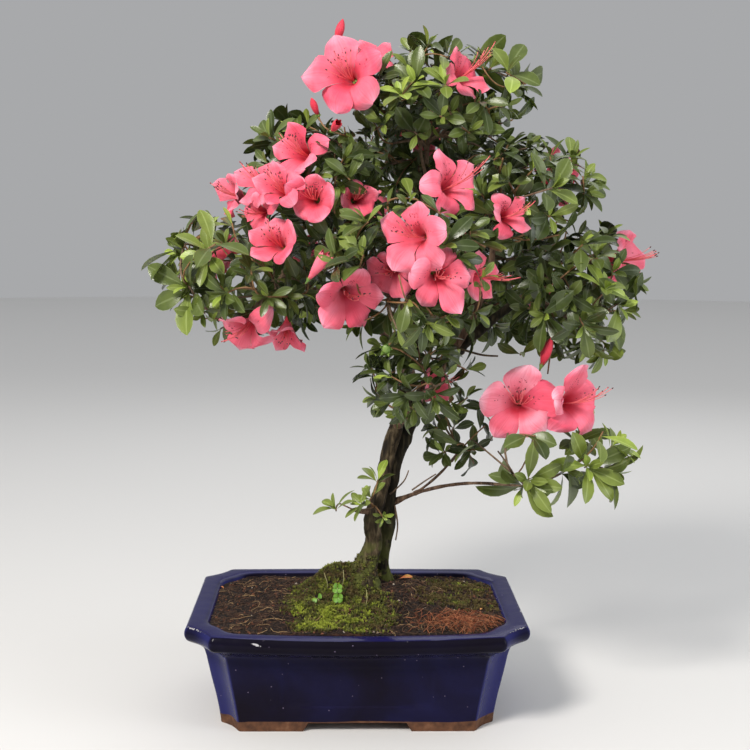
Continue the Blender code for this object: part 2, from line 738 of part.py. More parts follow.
def leaves_of_shoot(name, rng, surface, end, axis, facing, count, open_angle):
    """Return the leaves of one rosette, without those that would leave the space or touch a limb."""
    leaves = []
    side = facing.orthogonal().normalized()
    phase = rng.uniform(0.0, math.tau)
    for step in range(count):
        turn = phase + step * GOLDEN_ANGLE
        lean = open_angle + rng.uniform(-LEAF_ANGLE_SPREAD, LEAF_ANGLE_SPREAD)
        around = Quaternion(facing, turn) @ side
        ahead = (facing * math.cos(lean) + around * math.sin(lean) - UP * LEAF_DROOP).normalized()
        normal = (facing - ahead * facing.dot(ahead)).normalized()
        length = LEAF_LENGTH * mass_size(name) * rng.uniform(0.82, 1.10)
        width = LEAF_WIDTH * mass_size(name) * rng.uniform(0.88, 1.08)
        root = end - axis * (0.0010 + LEAF_ROOT_STEP * step) - ahead * LEAF_ROOT_SINK
        points, faces = leaf_points(root, ahead, normal, length, width, length * rng.uniform(0.03, 0.12))
        checks = points[1:] + [points[0].lerp(points[4], share) for share in (0.3, 0.5, 0.75)]
        checks += [start.lerp(edge, share) for start in (points[0], points[3]) for edge in points[1:3]
                   for share in (0.4, 0.7)]
        limit = max(1.08, space_ratio(name, end) + 0.45)
        if not all(in_own_space(name, point, limit) for point in checks):
            continue
        if not all(clear_of_limbs(surface, point, LIMB_CLEARANCE) for point in checks):
            continue
        if not all(clear_of_blooms(name, point) for point in checks):
            continue
        leaves.append((points, faces))
    return leaves


def bloom_points(end, facing, radius):
    """Return an open funnel flower: five rounded petals round a throat, on a narrow neck."""
    side = facing.orthogonal().normalized()
    across = facing.cross(side)

    def place(reach, turn, height):
        return end + facing * height + (side * math.cos(turn) + across * math.sin(turn)) * reach

    fifth = math.tau / 5
    points = [place(BLOOM_NECK_RADIUS, fifth * step, -0.003) for step in range(5)]
    points += [place(radius * 0.17, fifth * step, BLOOM_DEPTH * 0.45) for step in range(5)]
    for petal in range(5):
        turn = fifth * petal
        points.append(place(radius * 0.46, turn - fifth * 0.5, BLOOM_DEPTH * 0.86))
        points.append(place(radius * 0.93, turn - fifth * 0.27, BLOOM_DEPTH * 1.02))
        points.append(place(radius, turn, BLOOM_DEPTH * 0.98))
        points.append(place(radius * 0.93, turn + fifth * 0.27, BLOOM_DEPTH * 1.02))
    throat = len(points)
    points.append(end + facing * BLOOM_DEPTH * 0.60)
    faces = [[0, 4, 3, 2, 1]]
    for step in range(5):
        after = (step + 1) % 5
        faces.append([step, after, 5 + after, 5 + step])
        rim = [10 + step * 4 + corner for corner in range(4)] + [10 + (after * 4)]
        faces.append([5 + step, rim[1], rim[0]])
        faces.append([5 + step, rim[2], rim[1]])
        faces.append([5 + step, rim[3], rim[2]])
        faces.append([5 + step, rim[4], rim[3]])
        faces.append([5 + step, 5 + after, rim[4]])
        for corner in range(4):
            faces.append([rim[corner], rim[corner + 1], throat])
    return points, faces


def fuse(name, solids, parent):
    """Join the solids of one mass, each with its material, into a single closed body.

    The union is MANIFOLD because EXACT leaves slivers where thin leaves cross.
    """
    joined = bpy.data.collections.new(name + "_parts")
    bpy.context.scene.collection.children.link(joined)
    base = new_object(name, *solids[0], parent)
    for index, (points, faces, material) in enumerate(solids[1:]):
        part = new_object(name + "_part_" + str(index), points, faces, material)
        bpy.context.scene.collection.objects.unlink(part)
        joined.objects.link(part)
    modifier = base.modifiers.new("join", "BOOLEAN")
    modifier.operation = "UNION"
    modifier.solver = "MANIFOLD"
    modifier.material_mode = "TRANSFER"
    modifier.operand_type = "COLLECTION"
    modifier.collection = joined
    bpy.context.view_layer.update()
    evaluated = base.evaluated_get(bpy.context.evaluated_depsgraph_get())
    mesh = bpy.data.meshes.new_from_object(evaluated)
    base.modifiers.clear()
    base.data = mesh
    mesh.name = name
    for part in list(joined.objects):
        bpy.data.objects.remove(part)
    bpy.data.collections.remove(joined)
    keep_largest_shell(mesh)


def keep_largest_shell(mesh):
    """Drop loose scraps and fill sealed hollows: only the largest shell stays."""
    shape = bmesh.new()
    shape.from_mesh(mesh)
    unseen = set(shape.faces)
    shells = []
    while unseen:
        edge_of_shell = [unseen.pop()]
        shell = list(edge_of_shell)
        while edge_of_shell:
            face = edge_of_shell.pop()
            for edge in face.edges:
                for other in edge.link_faces:
                    if other in unseen:
                        unseen.remove(other)
                        edge_of_shell.append(other)
                        shell.append(other)
        shells.append(shell)
    largest = max(shells, key=len)
    scraps = [face for shell in shells if shell is not largest for face in shell]
    bmesh.ops.delete(shape, geom=scraps, context="FACES")
    shape.to_mesh(mesh)
    shape.free()


def build_mass(name, order, limbs, surface, parent, materials):
    """Grow one mass of twigs, leaves and flowers and join it."""
    rng = random.Random(SEED + order)
    shoots = pick_shoots(name, rng, surface)
    places, parents, twigs = grow_twigs(name, limbs, surface, shoots)
    stem_radius = limbs[MASSES[name][0]][0][-1][1]
    radii = twig_radii(places, parents, stem_radius)
    solids = []
    for chain, shoot in twigs:
        run = [(places[index], radii[index]) for index in chain]
        run[0] = (run[0][0], min(run[0][1], radii[chain[1]]))
        directions = run_directions(run)
        solids.append((*tube(run, directions, 3 if shoot else BOUGH_SIDES), materials["twig"]))
        if shoot is None:
            continue
        facing, bloom_radius = shoot
        end, ahead = run[-1][0], directions[-1]
        if bloom_radius > 0.0:
            solids.append((*bloom_points(end, facing, bloom_radius), materials["petal"]))
            leaves = leaves_of_shoot(name, rng, surface, end - ahead * BLOOM_LEAF_DROP, ahead, ahead,
                                     LEAVES_A_BLOOM, BLOOM_LEAF_ANGLE)
        else:
            turned = (ahead * TWIG_FACING + facing).normalized()
            leaves = leaves_of_shoot(name, rng, surface, end, ahead, turned, LEAVES_A_SHOOT, LEAF_ANGLE)
        solids.extend([(points, faces, materials["leaf"]) for points, faces in leaves])
    fuse(name, solids, parent)


def centre_on_origin(plant):
    """Move the empty so that the origin is the bottom centre of the whole plant."""
    bpy.context.view_layer.update()
    pieces = [piece for piece in plant.children if not piece.hide_render]
    corners = [corner.co for piece in pieces for corner in piece.data.vertices]
    middle_x = (min(point.x for point in corners) + max(point.x for point in corners)) / 2
    middle_y = (min(point.y for point in corners) + max(point.y for point in corners)) / 2
    plant.location = (-middle_x, -middle_y, 0.0)


def main():
    """Build the whole plant."""
    for old in list(bpy.data.objects):
        bpy.data.objects.remove(old)
    glaze = new_material("pot_glaze", (0.012, 0.020, 0.130), 0.22)
    earth = new_material("soil", (0.060, 0.036, 0.022), 0.95)
    bark = new_material("bark", (0.150, 0.105, 0.062), 0.85)
    foliage = {
        "twig": new_material("twig", (0.180, 0.100, 0.045), 0.75),
        "leaf": new_material("leaf", (0.045, 0.130, 0.028), 0.42),
        "petal": new_material("petal", (0.830, 0.120, 0.150), 0.55),
    }
    plant = bpy.data.objects.new("plant", None)
    bpy.context.scene.collection.objects.link(plant)
    build_pot(plant, glaze)
    limbs = plan_limbs()
    build_soil(limbs, plant, earth)
    build_limbs(limbs, plant, bark)
    surface = limb_surface(limbs)
    for order, name in enumerate(MASSES):
        build_mass(name, order, limbs, surface, plant, foliage)
    centre_on_origin(plant)


main()
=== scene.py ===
"""Looks of the azalea bonsai: bark, twigs, leaves, blossom, glazed pot, soil and moss.

Metres, +Z up. As in the part's source, the design works from the middle of the pot on the surface it
stands on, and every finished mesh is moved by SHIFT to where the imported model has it. The twin trunk,
the boughs and the first shoots follow the source's rule with its numbers; finer shoots grow on from
them within the same spaces.
"""

import math
import random

import bmesh
import bpy
import numpy as np
from mathutils import Matrix, Quaternion, Vector, noise
from mathutils.bvhtree import BVHTree


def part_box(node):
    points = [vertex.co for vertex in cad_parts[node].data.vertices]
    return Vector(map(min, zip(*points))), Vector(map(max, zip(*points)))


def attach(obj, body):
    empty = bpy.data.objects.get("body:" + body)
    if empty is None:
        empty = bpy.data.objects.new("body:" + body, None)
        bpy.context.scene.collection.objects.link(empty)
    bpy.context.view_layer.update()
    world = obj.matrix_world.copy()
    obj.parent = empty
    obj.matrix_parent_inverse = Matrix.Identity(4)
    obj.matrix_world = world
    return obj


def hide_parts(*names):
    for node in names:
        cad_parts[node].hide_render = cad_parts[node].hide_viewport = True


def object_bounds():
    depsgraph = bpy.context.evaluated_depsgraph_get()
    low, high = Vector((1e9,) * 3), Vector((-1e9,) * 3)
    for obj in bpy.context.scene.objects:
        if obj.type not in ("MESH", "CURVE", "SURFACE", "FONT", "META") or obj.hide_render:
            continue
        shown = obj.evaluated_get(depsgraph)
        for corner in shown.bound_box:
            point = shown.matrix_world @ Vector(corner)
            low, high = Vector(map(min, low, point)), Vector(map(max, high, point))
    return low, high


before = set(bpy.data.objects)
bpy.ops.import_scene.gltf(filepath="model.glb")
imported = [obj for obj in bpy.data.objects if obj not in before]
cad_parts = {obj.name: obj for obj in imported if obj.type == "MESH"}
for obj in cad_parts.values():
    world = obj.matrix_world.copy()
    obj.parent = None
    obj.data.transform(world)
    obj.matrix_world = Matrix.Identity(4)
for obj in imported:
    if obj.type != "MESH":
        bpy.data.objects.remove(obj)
cad_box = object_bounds()

pot_low, pot_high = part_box("pot")
SHIFT = Vector(((pot_low.x + pot_high.x) / 2, (pot_low.y + pot_high.y) / 2, pot_low.z))
UP = Vector((0.0, 0.0, 1.0))
SEAT_GAP = 0.0003

# Pot, as in the source: profiles are (inset, height)
RIM_WIDTH, RIM_DEPTH, POT_HEIGHT = 0.26, 0.21, 0.081
RIM_CUT, BASE_CUT, CUT_SCOOP = (0.021, 0.026), (0.0155, 0.0225), 0.0016
BASE_INSET = 0.025
WALL_PROFILE = ((0.025, 0.0), (0.022, 0.02), (0.018, 0.04), (0.015, 0.056), (0.0128, 0.062), (0.0075, 0.0665),
                (0.002, 0.0695), (0.0, 0.073), (0.0, 0.077), (0.0018, POT_HEIGHT))
INNER_PROFILE = ((0.014, POT_HEIGHT), (0.0165, 0.079), (0.019, 0.07), (0.0215, 0.056), (0.025, 0.038),
                 (0.029, 0.02), (0.033, 0.013))
FOOT_HEIGHT, FOOT_LENGTH_X, FOOT_LENGTH_Y, FOOT_SLANT, FOOT_THICKNESS = 0.0068, 0.064, 0.038, 0.004, 0.015
PANEL_SIZE, PANEL_HEIGHT, PANEL_RECESS = (0.115, 0.0335), 0.0356, 0.0012
DRAIN_RADIUS, DRAIN_SPREAD, DRAIN_TOP, DRAIN_SIDES = 0.007, 0.055, 0.02, 24
LIP_START, LIP_FULL, LIP_BOW, LIP_SAG = 0.056, 0.07, 0.003, 0.004
CUT_BELOW = 0.01

# Finer shape of the pot: rounded edges, rows of the wall, the lip's top and a hand-made unevenness
EDGE_ROUND, MOUTH_ROUND, EDGE_STEPS, CUT_STEPS = 0.0024, 0.011, 4, 6
MOUTH_START, MOUTH_WIDTH = 0.002, 0.012
LONG_SIDE = (0.0815, 0.0695, 0.0575, 0.0565, 0.044, 0.03, 0.015, 0.0)
SHORT_SIDE = (0.04, 0.0, -0.04)
GLAZE_END, GLAZE_WAVE, GLAZE_WAVE_WIDTH = 0.0078, 0.0011, 0.012
PANEL_BEVEL = 0.0016
POT_ROWS = (0.0, 0.0008, 0.0024, 0.005, GLAZE_END, 0.011, 0.015, 0.024, 0.03, 0.036, 0.042, 0.048, 0.0545,
            0.0575, 0.06, 0.062, 0.064, 0.0655, 0.0668, 0.0682, 0.0694, 0.0706, 0.0718, 0.0732, 0.075, 0.0768,
            0.0782, 0.0794, 0.0803)
LIP_TOP = ((0.0024, 0.0808), (0.0042, 0.08095), (0.0075, POT_HEIGHT), (0.0112, 0.08095), (0.0138, 0.0806),
           (0.0154, 0.08))
POT_UNEVEN, POT_UNEVEN_WIDTH = 0.00035, 0.045
POT_SHARP, SOIL_SHARP = math.radians(38), math.radians(80)

# Chips in the glaze and painted highlights along the lip's edges: middle, tilt and turn about the upright,
# reach along, across and up
CHIPS_AND_HIGHLIGHTS = (((-0.0745, -0.1078, 0.0748), (-16.0, 0.0), (0.0044, 0.003, 0.0009)),
         ((-0.1205, -0.089, 0.0803), (0.0, -51.0), (0.014, 0.0036, 0.0013)),
         ((-0.1085, -0.1055, 0.0797), (0.0, -20.0), (0.003, 0.002, 0.0014)),
         ((0.119, -0.0905, 0.0804), (0.0, 51.0), (0.015, 0.0036, 0.0008)),
         ((0.036, -0.108, 0.0768), (0.0, 0.0), (0.006, 0.002, 0.0004)),
         ((0.1275, -0.035, 0.0803), (0.0, 90.0), (0.003, 0.001, 0.0008)))

# Ground, as in the source
SOIL_EDGE, GROUND = 0.0745, 0.088
GROUND_CENTRE = Vector((0.010, 0.006, GROUND))
GROUND_RADIUS, SOIL_RISE_POWER = 0.034, 1.7
MOUND_CENTRE, MOUND_REACH, MOUND_HEIGHT = (-0.011, 0.009), (0.041, 0.036), 0.016

# Finer shape of the ground: its crumbs heap up over the plain soil; noises are (height, width)
HEAPED, EDGE_GAP, WALL_GAP = 0.003, 0.0002, 0.0012
GROUND_SEED, GROUND_SIDES, GROUND_RINGS, SOIL_SKIRT = 77, 240, 90, (0.01, 0.004)
SOIL_NOISE = ((0.0016, 0.011), (0.0011, 0.0042), (0.0007, 0.0018))
CRUMBS, CRUMB_SIZES, CRUMB_SHARES = 4200, (0.0005, 0.0013), (0.58, 0.86, 0.985)
CRUMB_FACES = ((4, 2, 0), (4, 1, 2), (4, 3, 1), (4, 0, 3), (5, 0, 2), (5, 2, 1), (5, 1, 3), (5, 3, 0))

# Peat fibres: the mat's middle and reach; bend, length and rise of loose fibres, then of those in the mat
FIBRES, FIBRE_LOOSE, FIBRE_WALL_GAP, FIBRE_MAT = 1700, 0.64, 0.006, ((0.09, -0.066), (0.038, 0.02))
FIBRE_SPREADS = (((-1.4, 1.4), (0.006, 0.018), (0.0, 0.0012)), ((-2.4, 2.4), (0.008, 0.024), (0.0, 0.006)))
FIBRE_LIFT, FIBRE_RADII = 0.0003, (0.00012, 0.00026)

# Moss: the fresh spot's middle and reach, the limits of its tints and patches as middle, reach and amount
MOSS_TUFTS, TRUNK_TUFTS, MOSS_FRESH, MOSS_LIMITS = 6200, 420, ((-0.024, -0.06), 0.026), (-0.22, 0.12, 0.5)
MOSS_PATCHES = (((-0.02, -0.024), (0.04, 0.05), 1.0), ((-0.022, 0.004), (0.034, 0.032), 0.95),
                ((0.004, -0.05), (0.03, 0.04), 0.75), ((-0.03, -0.072), (0.024, 0.014), 0.9),
                ((0.08, -0.012), (0.04, 0.026), 0.36), ((0.085, 0.04), (0.032, 0.03), 0.36),
                ((0.02, 0.05), (0.03, 0.02), 0.35))
MOSS_PATCH_WIDTH, MOSS_TINT_WIDTH, MOSS_BROWN_FROM = 0.009, 0.01, 0.03
TRUNK_MOSS_HEIGHT, TRUNK_MOSS_SIDE = 0.03, (215.0, 55.0)
TUFT_BLADES, BLADE_LENGTHS, BLADE_LEANS = 6, (0.0015, 0.0034), (0.2, 1.05)
BLADE_HALVES, BLADE_SINK, TRUNK_TUFT_SINK = (0.00026, 0.00042), 0.0004, 0.0002

# Seedling: foot, way to the tip, leaflets; pale stems; fallen leaves: place, turn, length, tint; last, how
# a stem bends: share of its length, bend and radius
SEEDLING = (((-0.0165, -0.03), (0.001, -0.003, 0.012), 4), ((-0.015, -0.032), (0.0, -0.003, 0.005), 4),
            ((-0.03, -0.03), (-0.001, -0.002, 0.0045), 2))
PALE_STEMS = (((-0.023, -0.016), (-0.003, 0.0, 0.016)), ((-0.012, -0.016), (0.001, 0.0, 0.014)),
              ((0.006, -0.045), (0.001, 0.003, 0.015)))
FALLEN = (((0.034, 0.024), 0.3, 0.013, 2), ((-0.11, 0.046), 2.2, 0.006, 2), ((0.096, -0.03), 1.1, 0.005, 2))
STEM_SINK, LEAFLET_SIZE, FALLEN_LIFT = 0.001, (0.0046, 0.0044, 0.0003), 0.0012
SEEDLING_STEM, PALE_STEM = (0.5, (0.0008, -0.0006, 0.0), 0.0003), (0.55, (0.001, 0.0, 0.0), 0.00028)

# Trunks, as in the source: places with radii
TRUNKS = {
    "trunk_front": (
        (0.006, -0.002, GROUND + SEAT_GAP, 0.0125), (0.0075, 0.0, 0.1075, 0.0098), (0.0132, 0.0, 0.13, 0.007),
        (0.0118, 0.0, 0.149, 0.0066), (0.02, 0.0, 0.174, 0.006), (0.0243, 0.001, 0.2, 0.0054),
        (0.034, 0.002, 0.233, 0.0053), (0.044, 0.004, 0.29, 0.0047), (0.05, 0.003, 0.36, 0.0039),
        (0.0525, 0.0, 0.425, 0.003)),
    "trunk_rear": (
        (0.025, 0.023, GROUND + SEAT_GAP, 0.0082), (0.0238, 0.02, 0.106, 0.0062),
        (0.0278, 0.0165, 0.135, 0.0068), (0.0292, 0.015, 0.16, 0.0066), (0.035, 0.014, 0.198, 0.0063),
        (0.044, 0.014, 0.229, 0.006), (0.064, 0.017, 0.262, 0.0052), (0.093, 0.018, 0.292, 0.0042),
        (0.124, 0.014, 0.318, 0.003)),
}
FLARE_HEIGHT, FLARE_SIDE, FLARE_WIDTH = 0.011, math.radians(20), {"trunk_front": 0.55, "trunk_rear": 0.25}
BARK_LUMP = 0.055

# Boughs, as in the source: parent, height on it, tip, bend and radii
BOUGHS = {
    "bough_sprig": ("trunk_front", 0.154, (-0.003, -0.011, 0.156), (0.0, 0.0, -0.002), (0.0018, 0.0014)),
    "bough_lower_right": (
        "trunk_rear", 0.157, (0.106, -0.022, 0.179), (0.0, -0.002, 0.006), (0.0027, 0.0018)),
    "bough_lower_inner": (
        "bough_lower_right", 0.166, (0.074, -0.006, 0.194), (0.001, 0.0, -0.001), (0.0016, 0.0013)),
    "bough_lower_front": (
        "trunk_front", 0.222, (0.046, -0.034, 0.25), (0.0, -0.006, -0.002), (0.0026, 0.0017)),
    "bough_front": ("trunk_front", 0.262, (0.037, -0.058, 0.322), (0.0, -0.01, -0.004), (0.0032, 0.002)),
    "bough_left": ("trunk_front", 0.28, (-0.045, -0.006, 0.334), (-0.006, 0.0, 0.006), (0.0036, 0.0022)),
    "bough_back_left": (
        "trunk_front", 0.306, (-0.006, 0.056, 0.352), (-0.006, 0.01, 0.004), (0.0033, 0.0021)),
    "bough_upper_left": ("trunk_front", 0.342, (-0.004, -0.01, 0.414), (-0.01, 0.0, 0.004), (0.003, 0.002)),
    "bough_back_top": ("trunk_front", 0.35, (0.056, 0.052, 0.412), (0.0, 0.01, 0.002), (0.0029, 0.0019)),
    "bough_upper_right": ("trunk_rear", 0.262, (0.104, -0.004, 0.378), (0.014, 0.0, 0.004), (0.0033, 0.0021)),
    "bough_back_right": ("trunk_rear", 0.28, (0.1, 0.066, 0.33), (0.004, 0.008, 0.006), (0.0032, 0.0021)),
}

# Steps and sides of a limb: as in the source for the growth rule, finer for what shows
PLAN_STEPS, PLAN_SIDES = {"trunk": 2, "bough": 6}, {"trunk": 10, "bough": 6}
FINE_STEPS, FINE_SIDES = {"trunk": 20, "bough": 40}, {"trunk": 56, "bough": 18}

# Bark: height, width and upright stretch of its plates, grain and swellings; colours, moss top and amount,
# where the rear trunk's darker colours are painted shade
BARK_PLATE, BARK_GRAIN, BARK_SWELL = (0.00028, 0.0034, 3.5), (0.0003, 0.0013, 2.0), (0.0016, 0.012, 1.5)
BARK_FULL_RADIUS = 0.006
BARKS = {
    "trunk_front": ("bark_front", (0.016, 0.011, 0.006), (0.06, 0.042, 0.022), (0.19, 0.142, 0.082),
                    GROUND + 0.075, 0.17),
    # The rear trunk's colours are darker as painted shade.
    "trunk_rear": ("bark_rear_painted_shade", (0.01, 0.008, 0.005), (0.03, 0.024, 0.013), (0.09, 0.072, 0.042),
                   GROUND + 0.07, 0.24),
    "bough": ("bark_bough", (0.065, 0.037, 0.024), (0.165, 0.1, 0.064), (0.3, 0.205, 0.135), GROUND, 0.0),
}

# Roots as heading and rise, knobs as height, heading, rise and size, and how thin a limb is to the source's
BURIED_DEPTHS = (0.008, 0.005, 0.0025)
ROOTS = {"trunk_front": ((180, 0.003), (238, 0.0034), (318, 0.0026), (75, 0.003)),
         "trunk_rear": ((15, 0.0022), (300, 0.0018), (110, 0.0024))}
ROOT_HEIGHT, ROOT_SPREAD = 0.012, math.radians(24)
KNOBS = {
    "trunk_front": ((0.121, 285, 0.0014, 0.005), (0.138, 215, 0.0018, 0.0045), (0.164, 300, 0.0014, 0.004),
                    (0.187, 200, 0.0016, 0.0042), (0.213, 265, 0.0012, 0.004), (0.148, 40, 0.0016, 0.0045)),
    "trunk_rear": ((0.123, 330, 0.0012, 0.0045), (0.176, 300, 0.0014, 0.0042), (0.208, 350, 0.0014, 0.0042)),
}
TRUNK_THIN, TRUNK_THIN_TOP = {"trunk_front": (0.93, 0.0), "trunk_rear": (0.8, -0.004)}, (0.175, 0.215)
BOUGH_THIN = {"bough_lower_right": 0.62, "bough_lower_inner": 0.72, "bough_sprig": 0.72}
COLLAR_RISE, COLLAR_LENGTH, BOUGH_NODE = 0.75, 1.6, 0.07

# Masses, as in the source: the limb each grows from, then the centre and the reach of its space
MASSES = {
    "leaves_sprig": ("bough_sprig", (-0.004, -0.016, 0.171), (0.038, 0.03, 0.032)),
    "leaves_lower_right": ("bough_lower_right", (0.148, -0.04, 0.212), (0.08, 0.062, 0.054)),
    "leaves_lower_inner": ("bough_lower_inner", (0.083, -0.008, 0.218), (0.04, 0.042, 0.036)),
    "leaves_lower_front": ("bough_lower_front", (0.044, -0.052, 0.268), (0.054, 0.054, 0.046)),
    "leaves_front": ("bough_front", (0.036, -0.098, 0.348), (0.08, 0.066, 0.07)),
    "leaves_left": ("bough_left", (-0.092, -0.008, 0.343), (0.072, 0.1, 0.064)),
    "leaves_back_left": ("bough_back_left", (-0.028, 0.098, 0.355), (0.08, 0.062, 0.078)),
    "leaves_upper_left": ("bough_upper_left", (-0.036, -0.014, 0.42), (0.062, 0.088, 0.058)),
    "leaves_back_top": ("bough_back_top", (0.062, 0.074, 0.436), (0.082, 0.064, 0.062)),
    "leaves_top": ("trunk_front", (0.056, -0.022, 0.474), (0.09, 0.08, 0.056)),
    "leaves_upper_right": ("bough_upper_right", (0.128, -0.026, 0.406), (0.068, 0.082, 0.056)),
    "leaves_right": ("trunk_rear", (0.17, -0.01, 0.332), (0.062, 0.096, 0.066)),
    "leaves_back_right": ("bough_back_right", (0.104, 0.098, 0.345), (0.084, 0.06, 0.078)),
}
LEADERS = {
    "leaves_sprig": ((-0.02, -0.02, 0.155),),
    "leaves_lower_right": ((0.194, -0.046, 0.193), (0.126, -0.056, 0.184), (0.16, -0.052, 0.196)),
    "leaves_left": ((-0.133, -0.03, 0.362), (-0.128, -0.05, 0.334)),
    "leaves_top": ((0.052, -0.01, 0.502), (0.122, -0.01, 0.49), (0.088, 0.012, 0.503)),
    "leaves_upper_right": ((0.166, 0.0, 0.426),),
    "leaves_right": ((0.196, 0.03, 0.372), (0.196, -0.05, 0.322)),
}


def aimed(table):
    """Return a table of rows by mass, with the place and the facing that start each row as vectors."""
    return {name: [(Vector(place), Vector(facing).normalized(), *more) for place, facing, *more in rows]
            for name, rows in table.items()}


# Open flowers, as in the source: middle, facing and radius
BLOOMS = aimed({
    "leaves_lower_right": (((0.1201, -0.065, 0.2466), (-0.1, -1.0, 0.05), 0.03),
                           ((0.164, -0.06, 0.2476), (0.55, -0.8, 0.1), 0.029)),
    "leaves_lower_front": (((0.064, -0.046, 0.26), (0.6, -0.7, 0.05), 0.018),),
    "leaves_front": (
        ((-0.0067, -0.107, 0.3269), (0.25, -0.85, -0.4), 0.03),
        ((0.0352, -0.132, 0.3722), (-0.55, -0.8, 0.0), 0.031),
        ((0.0562, -0.134, 0.343), (0.2, -0.95, -0.2), 0.028),
        ((0.093, -0.1, 0.342), (0.7, -0.6, -0.2), 0.02)),
    "leaves_left": (
        ((-0.0618, -0.078, 0.3688), (-0.3, -0.9, 0.3), 0.025),
        ((-0.0876, -0.055, 0.2987), (-0.5, -0.6, -0.6), 0.026),
        ((-0.056, -0.02, 0.29), (-0.05, -0.55, -0.8), 0.02),
        ((-0.115, 0.062, 0.356), (-0.7, 0.7, 0.15), 0.026)),
    "leaves_back_left": (((-0.05, 0.142, 0.35), (-0.35, 0.9, 0.05), 0.029),
                         ((0.01, 0.14, 0.395), (0.1, 0.9, 0.4), 0.027)),
    "leaves_upper_left": (
        ((-0.0463, -0.066, 0.4336), (-0.55, -0.8, 0.2), 0.025),
        ((-0.076, -0.05, 0.4117), (-0.75, -0.6, 0.3), 0.025),
        ((-0.035, -0.084, 0.399), (-0.2, -0.95, 0.05), 0.024),
        ((-0.102, -0.004, 0.402), (-0.9, -0.3, 0.1), 0.022)),
    "leaves_back_top": (((0.05, 0.118, 0.46), (-0.1, 0.85, 0.5), 0.029),),
    "leaves_top": (
        ((-0.0108, -0.064, 0.4893), (-0.35, -0.93, 0.15), 0.033),
        ((0.0119, -0.024, 0.509), (0.2, -0.5, 0.8), 0.024),
        ((0.0803, -0.056, 0.4918), (0.6, -0.7, 0.35), 0.024)),
    "leaves_upper_right": (
        ((0.0689, -0.098, 0.4093), (0.6, -0.75, 0.25), 0.027),
        ((0.112, -0.092, 0.3879), (0.5, -0.8, 0.1), 0.02),
        ((0.158, 0.018, 0.42), (0.8, 0.35, 0.45), 0.026)),
    "leaves_right": (((0.211, 0.0, 0.3533), (0.85, -0.5, 0.0), 0.033),),
    "leaves_back_right": (((0.09, 0.146, 0.37), (0.0, 1.0, 0.1), 0.029),
                          ((0.155, 0.118, 0.32), (0.6, 0.75, -0.1), 0.027)),
})

# Flowers that open between those of the source
MORE_BLOOMS = aimed({
    "leaves_front": (((0.0215, -0.1, 0.344), (-0.25, -0.85, -0.35), 0.024),),
    "leaves_left": (((-0.08, -0.058, 0.386), (-0.6, -0.7, -0.2), 0.02),),
    "leaves_upper_left": (((-0.061, -0.084, 0.41), (-0.45, -0.75, 0.45), 0.021),
                          ((0.001, -0.062, 0.4), (0.25, -0.9, 0.1), 0.019)),
})
ALL_BLOOMS = [bloom for blooms in (*BLOOMS.values(), *MORE_BLOOMS.values()) for bloom in blooms]

# Buds: middle, facing, length and how far the mouth is open; a spent flower has no mouth, only its cup
BUDS = aimed({
    "leaves_front": (((-0.03, -0.108, 0.35), (0.55, -0.35, 0.75), 0.024, 0.5),
                     ((0.019, -0.104, 0.291), (-0.1, -0.9, -0.1), 0.012, None)),
    "leaves_right": (((0.141, -0.058, 0.286), (0.3, -0.15, 0.93), 0.024, 0.0),),
    "leaves_upper_left": (((-0.033, -0.06, 0.466), (-0.3, -0.5, 0.8), 0.016, 0.0),
                          ((-0.018, -0.072, 0.451), (0.3, -0.9, 0.3), 0.018, 0.35)),
    "leaves_top": (((-0.015, -0.038, 0.523), (0.25, -0.2, 0.9), 0.02, 0.0),),
})

